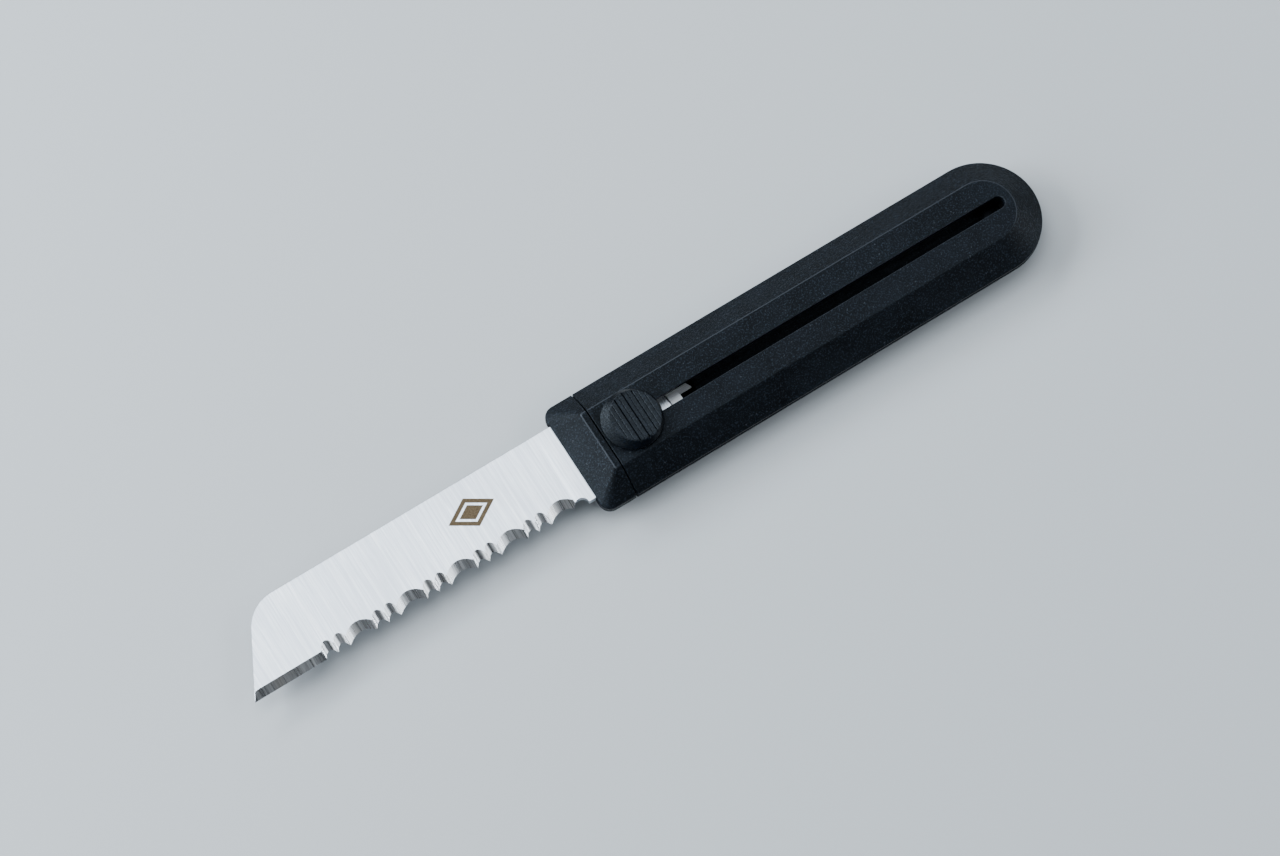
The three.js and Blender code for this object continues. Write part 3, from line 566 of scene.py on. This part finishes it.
def boolean(piece, other, operation):
    """Applies an exact boolean to the piece, keeps its face materials and discards the other."""
    modifier = piece.modifiers.new("cut", "BOOLEAN")
    modifier.operation = operation
    modifier.solver = "EXACT"
    modifier.object = other
    bpy.context.view_layer.update()
    graph = bpy.context.evaluated_depsgraph_get()
    result = bpy.data.meshes.new_from_object(piece.evaluated_get(graph), depsgraph=graph)
    piece.modifiers.remove(modifier)
    old = piece.data
    materials = list(old.materials)
    piece.data = result
    bpy.data.meshes.remove(old)
    indices = np.zeros(len(result.polygons), np.int32)
    result.polygons.foreach_get("material_index", indices)
    result.materials.clear()
    for material in materials:
        result.materials.append(material)
    if materials:
        indices = np.clip(indices, 0, len(materials) - 1)
        result.polygons.foreach_set("material_index", indices)
    tool = other.data
    bpy.data.objects.remove(other)
    bpy.data.meshes.remove(tool)


def new_block(name, low, high):
    """A plain block that only serves as a tool for a boolean."""
    bm = bmesh.new()
    bmesh.ops.create_cube(bm, size=1)
    for v in bm.verts:
        v.co = (low + high) / 2 + v.co * (high - low)
    return new_piece(name, bm, [])


def cut_hole(piece, x, y, radius):
    """A round hole straight up through a piece."""
    bm = bmesh.new()
    circle = arc((x, y), radius, 0, 350, 35)
    loft(bm, [[(px, py, z) for px, py in circle] for z in (0, HANDLE_TOP)])
    boolean(piece, new_piece("hole", bm, []), "DIFFERENCE")


def cut_fastener_hole(piece, node, radius):
    low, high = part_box(node)
    cut_hole(piece, (low.x + high.x) / 2, (low.y + high.y) / 2, radius)


def cad_copy(node):
    """The CAD solid as a welded mesh of its own, to trim a detailed piece with."""
    bm = bmesh.new()
    bm.from_mesh(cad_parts[node].data)
    bmesh.ops.remove_doubles(bm, verts=bm.verts, dist=WELD)
    return new_piece("trim", bm, [])


def trim_to_cad(piece, node):
    boolean(piece, cad_copy(node), "INTERSECT")


def arc(centre, radius, start, end, steps):
    """Points of an arc in plan, angles in degrees."""
    angles = [math.radians(start + (end - start) * i / steps) for i in range(steps + 1)]
    return [
        (centre[0] + radius * math.cos(a), centre[1] + radius * math.sin(a)) for a in angles
    ]


def rounded_path(levels, radius, steps=5):
    """A path through parameter tuples (the last entry is z) with its inner corners rounded."""
    points = [np.array(level, float) for level in levels]
    path = [points[0]]
    for before, corner, after in zip(points, points[1:], points[2:]):
        reach_in = min(radius, 0.45 * section_length(before, corner))
        reach_out = min(radius, 0.45 * section_length(corner, after))
        a = corner + (before - corner) * reach_in / section_length(before, corner)
        b = corner + (after - corner) * reach_out / section_length(corner, after)
        for i in range(steps + 1):
            t = i / steps
            path.append((1 - t) ** 2 * a + 2 * t * (1 - t) * corner + t**2 * b)
    path.append(points[-1])
    return path


def section_length(a, b):
    """Distance between two levels in the end section, where the first entry is the half width."""
    return math.hypot(a[0] - b[0], a[-1] - b[-1])


def section_normals(path, sign):
    """Outward normals of a path in the end section, averaged at its corners."""
    normals = []
    for i in range(len(path)):
        before, after = path[max(i - 1, 0)], path[min(i + 1, len(path) - 1)]
        run, rise = after[0] - before[0], after[-1] - before[-1]
        length = math.hypot(run, rise)
        normals.append((sign * rise / length, -sign * run / length))
    return normals


def seam_round():
    """Retreat from the seam and sink below the surface along a small quarter round."""
    angles = [math.radians(90 - 22.5 * i) for i in range(5)]
    return [(SEAM_ROUND * (1 - math.sin(a)), SEAM_ROUND * (1 - math.cos(a))) for a in angles]


# ---- Shells ----


def shell_ring(half, z, normal):
    front = x_at(SEAM_STATION + SEAM_HALF) - SKIN_INSET
    centre = BUTT_X + HALF_WIDTH
    near = []
    for retreat, sink in seam_round():
        near.append((front - retreat, half - sink * normal[0], z - sink * normal[1]))
    start = front - SEAM_ROUND
    near += [(start + (centre - start) * i / 10, half, z) for i in range(1, 10)]
    butt = [(x, y, z) for x, y in arc((centre, 0), half, 90, 270, 72)]
    far = [(x, -y, height) for x, y, height in reversed(near)]
    return near + butt + far


def shell_levels(parting, outer):
    """Half width and height, from the middle of the parting plane to the middle of the flat."""
    sign = 1 if outer > parting else -1
    edge = PARTING_ROUND
    full = HALF_WIDTH - SKIN_INSET
    return [
        (0, parting),
        (full - edge, parting),
        (full, parting + sign * edge),
        (full, MID_Z + sign * BAND_HALF),
        (FLAT_HALF, outer),
        (0, outer),
    ]


def make_shell(name, node, parting, outer, material):
    sign = 1 if outer > parting else -1
    path = rounded_path(shell_levels(parting, outer), RIDGE_ROUND, 6)
    normals = section_normals(path, sign)
    bm = bmesh.new()
    rings = [shell_ring(half, z, normal) for (half, z), normal in zip(path, normals)]
    loft(bm, rings, across_seam=True)
    piece = new_piece(name, bm, [material])
    trim_to_cad(piece, node)
    return piece


def slot_lip_cutter():
    """Flares the slot's upper edge into a small round lip."""
    _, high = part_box("upper_shell")
    start = SLOT_HALF - 0.02 * MM
    front_x = x_at(SLOT_STATIONS[0]) - SLOT_HALF
    rear_x = x_at(SLOT_STATIONS[1]) + SLOT_HALF
    rings = []
    for i in range(7):
        angle = math.radians(90 * i / 6)
        grow = SLOT_LIP * (1 - math.cos(angle))
        z = high.z - SKIN_INSET - SLOT_LIP + SLOT_LIP * math.sin(angle)
        rings.append((start + grow, z))
    rings.insert(0, (start, rings[0][1] - 0.3 * MM))
    rings.append((rings[-1][0], high.z + 1 * MM))
    bm = bmesh.new()
    loops = []
    for half, z in rings:
        front = arc((front_x, 0), half, -90, 90, 24)
        rear = arc((rear_x, 0), half, 90, 270, 24)
        loops.append([(x, y, z) for x, y in front + rear])
    loft(bm, loops)
    return new_piece("slot_lip", bm, [])


def make_upper_shell(material):
    parting = shell_low.z + SKIN_INSET
    outer = HANDLE_TOP - SKIN_INSET
    piece = make_shell("upper_shell_skin", "upper_shell", parting, outer, material)
    boolean(piece, slot_lip_cutter(), "DIFFERENCE")
    finish_normals(piece, 32)
    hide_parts("upper_shell")
    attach(piece, "handle")


def make_lower_shell(material):
    parting = lower_high.z - SKIN_INSET
    piece = make_shell("lower_shell_skin", "lower_shell", parting, SKIN_INSET, material)
    finish_normals(piece, 32)
    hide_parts("lower_shell")
    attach(piece, "handle")


# ---- Nose cap ----


def nose_ring(half, front_station, corner, z, normal):
    seam = x_at(SEAM_STATION - SEAM_HALF) + SKIN_INSET
    centre_x = x_at(front_station) - corner
    near = []
    for retreat, sink in seam_round():
        near.append((seam + retreat, half - sink * normal[0], z - sink * normal[1]))
    start = seam + SEAM_ROUND
    near += [(start + (centre_x - start) * i / 4, half, z) for i in range(1, 4)]
    near += [(x, y, z) for x, y in arc((centre_x, half - corner), corner, 90, 0, 16)]
    far = [(x, -y, height) for x, y, height in reversed(near)]
    return near + far


def make_nose_cap(material):
    inset = SKIN_INSET
    middle = (0, RIDGE_STATION + 0.9 * MM, 0)
    inner = (FLAT_HALF - 0.7 * MM, RIDGE_STATION + 0.7 * MM, 0.12 * MM)
    flat = (FLAT_HALF - 0.5 * inset, RIDGE_STATION + inset, NOSE_FLAT_CORNER)
    full = (HALF_WIDTH - inset, inset, NOSE_SIDE_CORNER)
    # Each level is the half width, the station of the front, the radius of its corner and z
    levels = [
        (*middle, inset),
        (*inner, inset),
        (*flat, inset),
        (*full, MID_Z - BAND_HALF),
        (*full, MID_Z + BAND_HALF),
        (*flat, HANDLE_TOP - inset),
        (*inner, HANDLE_TOP - inset),
        (*middle, HANDLE_TOP - inset),
    ]
    path = rounded_path(levels, NOSE_RIDGE_ROUND, 5)
    normals = section_normals(path, 1)
    bm = bmesh.new()
    rings = [nose_ring(*level, normal) for level, normal in zip(path, normals)]
    loft(bm, rings, across_seam=True)
    piece = new_piece("nose_cap_skin", bm, [material])
    add_nose_arms(piece)
    trim_to_cad(piece, "nose_cap")
    add_seam_web(piece, 1)
    add_seam_web(piece, -1)
    finish_normals(piece, 30)
    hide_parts("nose_cap")
    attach(piece, "handle")


def add_nose_arms(piece):
    """A block behind the seam, which the CAD solid then trims to the two arms and the stop."""
    bottom, top = NOSE_ARMS_HEIGHTS
    low = Vector((nose_low.x - 1 * MM, -NOSE_ARMS_HALF, bottom))
    high = Vector((x_at(SEAM_STATION - 1 * MM), NOSE_ARMS_HALF, top))
    boolean(piece, new_block("nose_block", low, high), "UNION")


def add_seam_web(piece, side):
    """A thin shoulder inside one end of the seam, so that no light shows through the seam."""
    depth = SEAM_WEB_DEPTH
    inner, outer = SEAM_WEB_INNER, HALF_WIDTH - depth
    slope = (HANDLE_TOP - MID_Z - BAND_HALF) / (HALF_WIDTH - FLAT_HALF)
    sink = depth * math.hypot(1, slope)
    heights = [HANDLE_TOP - MID_Z - slope * (y - FLAT_HALF) - sink for y in (inner, outer)]
    outline = [
        (side * inner, MID_Z + heights[0]),
        (side * outer, MID_Z + heights[1]),
        (side * outer, MID_Z - heights[1]),
        (side * inner, MID_Z - heights[0]),
    ]
    front = x_at(SEAM_STATION - SEAM_HALF) + SEAM_WEB_START
    rear = x_at(SEAM_STATION + SEAM_HALF)
    bm = bmesh.new()
    loft(bm, [[(x, y, z) for y, z in outline] for x in (front, rear)])
    web = new_piece("web", bm, [])
    open_pin_bore(web, side)
    boolean(piece, web, "UNION")


def open_pin_bore(web, side):
    """The web leaves the dowel pin's bore open, a little wider than the pin."""
    for node in ("nose_pin_left", "nose_pin_right"):
        low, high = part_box(node)
        centre = (low + high) / 2
        if centre.y * side < 0:
            continue
        radius = (high.z - low.z) / 2 + PIN_CLEARANCE
        turns = [2 * math.pi * i / 32 for i in range(32)]
        circle = [
            (centre.y + radius * math.cos(a), centre.z + radius * math.sin(a)) for a in turns
        ]
        ends = (x_at(SEAM_STATION - 2 * MM), x_at(SEAM_STATION + 2 * MM))
        bm = bmesh.new()
        loft(bm, [[(x, y, z) for y, z in circle] for x in ends])
        boolean(web, new_piece("bore", bm, []), "DIFFERENCE")


# ---- Blade ----


def half_gap(y):
    share = (y - SPINE_Y) / (EDGE_Y - SPINE_Y)
    return SPINE_HALF + (EDGE_HALF - SPINE_HALF) * share


def plunge_depth(station, y):
    """How far a cheek lies below the tang's face: a soft ramp, wider toward the edge."""
    share = (y - SPINE_Y) / (EDGE_Y - SPINE_Y)
    width = PLUNGE_WIDTHS[0] + (PLUNGE_WIDTHS[1] - PLUNGE_WIDTHS[0]) * math.sqrt(max(share, 0))
    t = min(max((PLUNGE_STATION - station) / width, 0), 1)
    ramp = 0.6 * t + 0.4 * t * t * (3 - 2 * t)
    return (TANG_HALF - half_gap(y)) * ramp


def cheek(station, y):
    """Height of the upper cheek above the blade's middle plane."""
    return TANG_HALF - plunge_depth(station, y)


def scallop_spans():
    spans = []
    station = SERRATION_START
    for _ in range(SERRATION_GROUPS):
        for width, wheel in (SMALL_SCALLOP, SMALL_SCALLOP, WIDE_SCALLOP):
            spans.append((station, station + width, wheel))
            station += width
    return spans


SCALLOPS = scallop_spans()
SERRATION_END = SCALLOPS[-1][1]


def bevel_height(station):
    """Width of the plain bevel in plan: constant, then rolling off toward the tip."""
    start, drop = BEVEL_DROOP
    share = max(0, start - station) / (start - x_station(TIP_X))
    return BEVEL_HEIGHT - drop * share**2


def ground_height(station, y):
    """Height of the ground bevel or scallop surface over the middle plane."""
    height = bevel_height(station)
    tilt = math.atan2(half_gap(EDGE_Y - height) + EDGE_HALF, height)
    sink = 0.0
    for start, end, wheel in SCALLOPS:
        if start <= station <= end:
            offset = station - (start + end) / 2
            lift = math.sqrt(wheel**2 - ((end - start) / 2) ** 2)
            sink = lift - math.sqrt(wheel**2 - offset**2)
            tilt = SCALLOP_TILT
    return -EDGE_HALF + sink / math.cos(tilt) - (y - EDGE_Y) * math.tan(tilt)


def spine_at(station):
    """The blade's outline on the spine side, with the round shoulder and the slanted front."""
    if station > TANG_CENTRE:
        return TANG_MIDDLE - tang_reach(station)
    slope = math.tan(TIP_SLANT)
    shoulder = x_station(TIP_X) + (EDGE_Y - SPINE_Y) * slope
    turn = math.pi / 2 - TIP_SLANT
    arc_start = shoulder + SHOULDER_RADIUS * math.tan(turn / 2)
    arc_end = arc_start - SHOULDER_RADIUS * math.sin(turn)
    if station >= arc_start:
        return SPINE_Y
    if station >= arc_end:
        drop = math.sqrt(SHOULDER_RADIUS**2 - (arc_start - station) ** 2)
        return SPINE_Y + SHOULDER_RADIUS - drop
    return EDGE_Y - (station - x_station(TIP_X)) / slope


def tang_reach(station):
    return math.sqrt(max(TANG_RADIUS**2 - (station - TANG_CENTRE) ** 2, 0))


def crossing(low, high, is_past):
    """Bisects for the y where is_past turns true."""
    for _ in range(40):
        middle = (low + high) / 2
        if is_past(middle):
            high = middle
        else:
            low = middle
    return high


def section_ends(station):
    """Where the ground surface starts and where the section ends on the edge side."""
    if station > TANG_CENTRE:
        end = TANG_MIDDLE + tang_reach(station)
        return end, end
    choil = RICASSO_Y
    if abs(station - CHOIL_STATION) < CHOIL_RADIUS:
        choil -= math.sqrt(CHOIL_RADIUS**2 - (station - CHOIL_STATION) ** 2)
    if station > SERRATION_END:
        return choil, choil
    limit = EDGE_Y + 1 * MM

    def thickness(y):
        return ground_height(station, y) + cheek(station, y)

    start = crossing(SPINE_Y, limit, lambda y: ground_height(station, y) < cheek(station, y))
    end = crossing(start, limit, lambda y: thickness(y) < EDGE_LAND)
    end = min(end, choil)
    return min(start, end), end


def upper_height(station, y, ground):
    if y <= ground or station > SERRATION_END:
        return cheek(station, y)
    return min(ground_height(station, y), cheek(station, y))


def blade_section(station):
    """Closed loop of (y, z) points: upper cheek, ground face, edge, lower cheek, spine."""
    ground, end = section_ends(station)
    spine = min(spine_at(station), end - SHORTEST_SECTION)
    step = 0.02 * MM
    slant = (spine_at(station + step) - spine_at(station - step)) / (2 * step)
    chamfer = min(SPINE_CHAMFER * math.sqrt(1 + slant**2), 0.3 * (end - spine))
    turn = max(ground, spine + chamfer)
    top = []
    for i in range(CHEEK_STEPS + 1):
        y = spine + chamfer + (turn - spine - chamfer) * i / CHEEK_STEPS
        top.append((y, upper_height(station, y, ground)))
    for i in range(1, GROUND_STEPS + 1):
        y = turn + (end - turn) * i / GROUND_STEPS
        top.append((y, upper_height(station, y, ground)))
    bottom = []
    for i in range(CHEEK_STEPS + 1):
        y = end + (spine + chamfer - end) * i / CHEEK_STEPS
        bottom.append((y, -cheek(station, y)))
    rise = upper_height(station, spine, ground)
    fall = -cheek(station, spine)
    depth = min(SPINE_CHAMFER, 0.3 * (rise - fall))
    return top + bottom + [(spine, fall + depth), (spine, rise - depth)]


def blade_stations():
    marks = {x_station(TIP_X) + 0.05 * MM, SERRATION_START, SERRATION_END, PLUNGE_STATION}
    marks |= {start for start, _, _ in SCALLOPS}
    marks |= {CHOIL_STATION - CHOIL_RADIUS, CHOIL_STATION + CHOIL_RADIUS, TANG_CENTRE}
    marks = sorted(marks) + [TANG_END]
    stations = [marks[0]]
    for low, high in zip(marks, marks[1:]):
        coarse = low >= CHOIL_STATION + CHOIL_RADIUS - 1e-9
        pitch = TANG_PITCH if coarse else SCALLOP_PITCH
        if high <= SERRATION_START:
            pitch = TIP_PITCH
        count = max(2, math.ceil((high - low) / pitch))
        for i in range(1, count + 1):
            share = i / count
            if high == TANG_END:
                share = math.sin(share * math.pi / 2) * NEAR_END
            stations.append(low + (high - low) * share)
    return stations


def make_blade(satin, ground):
    bm = bmesh.new()
    rows = []
    for station in blade_stations():
        x = x_at(station)
        rows.append([bm.verts.new((x, y, MID_Z + z)) for y, z in blade_section(station)])
    count = len(rows[0])
    for ahead, behind in zip(rows, rows[1:]):
        for i in range(count):
            j = (i + 1) % count
            face = bm.faces.new((ahead[i], behind[i], behind[j], ahead[j]))
            is_ground = CHEEK_STEPS <= i < CHEEK_STEPS + GROUND_STEPS
            station = x_station((ahead[i].co.x + behind[i].co.x) / 2)
            face.material_index = 1 if is_ground and station < SERRATION_END else 0
    bm.faces.new(list(reversed(rows[0])))
    bm.faces.new(rows[-1])
    bmesh.ops.remove_doubles(bm, verts=bm.verts, dist=BLADE_WELD)
    bmesh.ops.recalc_face_normals(bm, faces=bm.faces)
    piece = new_piece("blade_body", bm, [satin, ground])
    cut_hole(piece, x_at(PRESS_PIN_STATION), 0, PRESS_PIN_HOLE_RADIUS)
    for node in ("slider_rivet_left", "slider_rivet_right"):
        cut_fastener_hole(piece, node, SLIDER_RIVET_BORE)
    finish_normals(piece, 14)
    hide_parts("blade")
    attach(piece, "carriage")


# ---- Thumb knob ----


def groove_depth(x):
    """Depth of the cross grooves at x: rounded valleys, three of them deeper."""
    depth = 0.0
    for i in range(GROOVE_COUNT):
        centre = x_at(GROOVE_FIRST + i * GROOVE_PITCH)
        deepest, reach = DEEP_GROOVE if i in DEEP_GROOVES else FINE_GROOVE
        offset = abs(x - centre) / reach
        if offset < 1:
            depth = max(depth, deepest * 0.5 * (1 + math.cos(math.pi * offset)))
    return depth


def knob_height(x, y):
    """Upper surface: an oval face, and a flank that falls to the round rim, widest in front."""
    dx, dy = x - FACE_CENTRE, y
    reach = math.hypot(dx, dy)
    if reach < 1e-9:
        return KNOB_TOP - groove_depth(x)
    ux, uy = dx / reach, dy / reach
    oval = 1 / math.hypot(ux / FACE_HALF_X, uy / FACE_HALF_Y)
    shift = FACE_CENTRE - KNOB_X
    along = shift * ux
    rim = -along + math.sqrt(along**2 - shift**2 + KNOB_RADIUS**2)
    fall = (reach - oval) / (rim - oval) * (KNOB_TOP - KNOB_RIM)
    soft = KNOB_CREASE
    drop = fall
    if fall < 40 * soft:
        drop = soft * math.log1p(math.exp(fall / soft))
    return min(KNOB_TOP - drop, KNOB_TOP - groove_depth(x))


def knob_section(x):
    """Closed loop of (y, z) points across the knob at x."""
    offset = min(abs(x - KNOB_X), KNOB_RADIUS * NEAR_RIM)
    half = math.sqrt(KNOB_RADIUS**2 - offset**2)
    face_offset = (x - FACE_CENTRE) / FACE_HALF_X
    face = FACE_HALF_Y * math.sqrt(max(1 - face_offset**2, 0))
    face = min(max(face, 0.45 * half), 0.985 * half)
    flank_steps, face_steps = 9, 16
    flank = [half + (face - half) * (i / flank_steps) for i in range(flank_steps)]
    inner = [face - face * i / (face_steps / 2) for i in range(face_steps // 2)]
    ys = flank + inner + [0] + [-y for y in reversed(inner)] + [-y for y in reversed(flank)]
    top = [(y, knob_height(x, y)) for y in ys]
    edge = min(0.16 * MM, 0.4 * half)
    under = [(-half, KNOB_BASE + edge), (-half + edge, KNOB_BASE)]
    under += [(half - edge, KNOB_BASE), (half, KNOB_BASE + edge)]
    return top + under


def make_thumb_knob(material):
    bm = bmesh.new()
    rows = []
    for i in range(KNOB_ROWS + 1):
        angle = math.pi * (i + 0.5) / (KNOB_ROWS + 1)
        x = KNOB_X + KNOB_RADIUS * math.cos(angle) * KNOB_ROW_REACH
        rows.append([(x, y, z) for y, z in knob_section(x)])
    loft(bm, rows)
    piece = new_piece("thumb_knob_body", bm, [material])
    cut_post_socket(piece)
    finish_normals(piece, 40)
    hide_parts("thumb_knob")
    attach(piece, "knob")


def cut_post_socket(piece):
    """Leaves room in the knob's underside for the head of its steel post."""
    low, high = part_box("knob_post")
    socket_low = Vector((low.x - POST_GAP, -POST_SOCKET_HALF, KNOB_BASE - 1 * MM))
    socket_high = Vector((high.x + POST_GAP, POST_SOCKET_HALF, high.z + 0.2 * MM))
    boolean(piece, new_block("socket", socket_low, socket_high), "DIFFERENCE")


# ---- Lock spring and return spring ----


def round_loop(points, radius, steps=4):
    """A closed loop of 2-D points with every corner rounded."""
    points = [np.array(point, float) for point in points]
    loop = []
    for i, corner in enumerate(points):
        before, after = points[i - 1], points[(i + 1) % len(points)]
        into, out = np.linalg.norm(corner - before), np.linalg.norm(after - corner)
        a = corner + (before - corner) * min(radius / into, 0.45)
        b = corner + (after - corner) * min(radius / out, 0.45)
        for k in range(steps + 1):
            t = k / steps
            loop.append(tuple((1 - t) ** 2 * a + 2 * t * (1 - t) * corner + t**2 * b))
    return loop


def make_lock_leaf(material):
    """The flat leaf under the tang. The press pin would bend it down; here it is built flat."""
    low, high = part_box("lock_spring")
    rear = x_at(LOCK_BLOCK_STATION) + 0.02 * MM
    bm = bmesh.new()
    outline = [(rear, low.y), (high.x, low.y), (high.x, high.y), (rear, high.y)]
    rings = []
    for z, inset in LEAF_LEVELS:
        narrower = 1 - inset * MM / high.y
        grown = [(x - inset * MM * (x == high.x), y * narrower) for x, y in outline]
        rings.append([(x, y, low.z + z * MM) for x, y in round_loop(grown, 0.9 * MM)])
    loft(bm, rings)
    leaf = new_piece("lock_leaf", bm, [material])
    for node in ("lock_rivet_left", "lock_rivet_right"):
        cut_fastener_hole(leaf, node, LOCK_RIVET_HOLE)
    finish_normals(leaf, 35)
    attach(leaf, "handle")
    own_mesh(leaf)
    return leaf


def make_lock_catch(material):
    """The folded block behind the tang, its front following the tang's round end, and its tail.

    The blade clears it only near the end of the slide: from 1 to 48 mm of travel the blade still
    cuts through it, from 72 mm on it doesn't.
    """
    low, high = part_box("lock_spring")
    sheet = LOCK_SHEET
    rear = LOCK_REAR_STATION
    reach = TANG_RADIUS + 0.3 * MM
    rings = []
    steps = 28
    for i in range(steps + 1):
        y = low.y + (high.y - low.y) * i / steps
        front = TANG_CENTRE + math.sqrt(reach**2 - (y - TANG_MIDDLE) ** 2)
        front = max(front, LOCK_BLOCK_STATION)
        inner = LOCK_BLOCK_STATION + 1.3 * MM
        outline = [
            (front, low.z),
            (front, high.z),
            (rear, high.z),
            (rear, low.z + LOCK_TAIL_RISE),
            (rear - sheet, low.z + LOCK_TAIL_RISE),
            (rear - sheet, high.z - sheet),
            (inner, high.z - sheet),
            (inner, low.z),
        ]
        rings.append([(x_at(u), y, z) for u, z in round_loop(outline, 0.16 * MM)])
    bm = bmesh.new()
    loft(bm, rings)
    catch = new_piece("lock_catch", bm, [material])
    boolean(catch, make_lock_tail(low), "UNION")
    finish_normals(catch, 35)
    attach(catch, "handle")
    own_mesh(catch)
    return catch


def make_lock_tail(low):
    """The lower tail behind the block, with one clipped corner."""
    start, end = LOCK_REAR_STATION - 0.5 * LOCK_SHEET, x_station(low.x)
    near, far, clip = -1.4 * MM, -3.4 * MM, 0.8 * MM
    outline = [(start, far), (end - clip, far), (end, near - clip / 2), (end, near), (start, near)]
    centre = np.mean(outline, axis=0)
    rings = []
    for z, inset in TAIL_LEVELS:
        shrink = 1 - inset * MM / (1 * MM)
        loop = [centre + (np.array(point) - centre) * shrink for point in outline]
        level = low.z + LOCK_TAIL_RISE + z * MM
        rings.append([(x_at(u), y, level) for u, y in round_loop(loop, 0.12 * MM)])
    bm = bmesh.new()
    loft(bm, rings)
    return new_piece("tail", bm, [])


def make_return_spring(material):
    """Coil spring with closed end turns between the slider block and the knob's flange."""
    low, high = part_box("return_spring")
    centre = (low + high) / 2
    wire = WIRE_RADIUS
    radius = (high.x - low.x) / 2 - wire
    steps, sides = 150, 10
    span = high.z - low.z - 2 * wire
    bm = bmesh.new()
    rings = []
    for i in range(steps + 1):
        t = i / steps
        angle = 2 * math.pi * COIL_TURNS * t
        eased = t * t * (3 - 2 * t)
        z = low.z + wire + span * (0.25 * t + 0.75 * eased)
        outward = Vector((math.cos(angle), math.sin(angle), 0))
        middle = Vector((centre.x, centre.y, z)) + outward * radius
        ring = []
        for k in range(sides):
            turn = 2 * math.pi * k / sides
            around = outward * math.cos(turn) + Vector((0, 0, math.sin(turn)))
            ring.append(middle + wire * around)
        rings.append(ring)
    loft(bm, rings)
    spring = new_piece("return_coil", bm, [material])
    finish_normals(spring, 60)
    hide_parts("return_spring")
    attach(spring, "knob")
    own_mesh(spring)


# ---- Assembly ----


def soften(node, width):
    """Rounds the edges of a CAD node that keeps its own shape."""
    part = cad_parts[node]
    weld = part.modifiers.new("weld", "WELD")
    weld.merge_threshold = WELD
    bevel = part.modifiers.new("round", "BEVEL")
    bevel.width = width
    bevel.segments = 2
    bevel.limit_method = "ANGLE"
    bevel.angle_limit = math.radians(40)


def dress_hidden_parts(spring):
    """Finishes of the CAD nodes that keep their own shape."""
    turned = plain_steel("turned_fastener_steel", TURNED_STEEL, 0.38, (300, 300, 2600))
    nylon = soft_polymer("glide_nylon", NYLON, 0.5, 1800)
    rubber = soft_polymer("bumper_rubber", RUBBER, 0.85, 3200)
    # Material of each node, and the radius of its edges in millimetres
    finishes = {
        "knob_post": (spring, 0.08),
        "park_spring": (spring, 0.06),
        "park_rivet": (turned, 0.06),
        "lock_rivet_left": (turned, 0.06),
        "lock_rivet_right": (turned, 0.06),
        "nose_pin_left": (turned, 0.08),
        "nose_pin_right": (turned, 0.08),
        "rear_screw": (turned, 0.06),
        "slider_rivet_left": (turned, 0.06),
        "slider_rivet_right": (turned, 0.06),
        "glide_pad_left": (nylon, 0.15),
        "glide_pad_right": (nylon, 0.15),
        "slider_block": (nylon, 0.12),
        "rear_bumper": (rubber, 0.2),
    }
    for node, (material, width) in finishes.items():
        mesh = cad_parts[node].data
        mesh.materials.clear()
        mesh.materials.append(material)
        soften(node, width * MM)


make_camera()
make_floor()
make_lights()

shell_black = moulding(
    "grained_black_moulding",
    color=(0.0001, 0.0002, 0.0004, 1),
    light=(0.0108, 0.0146, 0.0206, 1),
    roughness=0.4,
    grain_depth=0.00014,
    specular=0.095,
    burnish_highlight=0.7,
)
knob_black = moulding(
    "knob_black_moulding",
    color=(0.0003, 0.0004, 0.0006, 1),
    light=(0.0028, 0.0046, 0.0082, 1),
    roughness=0.26,
    grain_depth=0.00006,
    specular=0.135,
    burnish_highlight=0,
)
spring_steel = plain_steel("rolled_spring_steel", ROLLED_STEEL, 0.58, (90, 2400, 90))
make_upper_shell(shell_black)
make_lower_shell(shell_black)
make_nose_cap(shell_black)
make_blade(blade_satin(), ground_steel())
make_thumb_knob(knob_black)
leaf = make_lock_leaf(spring_steel)
catch = make_lock_catch(spring_steel)
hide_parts("lock_spring")
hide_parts("lock_spring")
make_return_spring(spring_steel)
dress_hidden_parts(spring_steel)
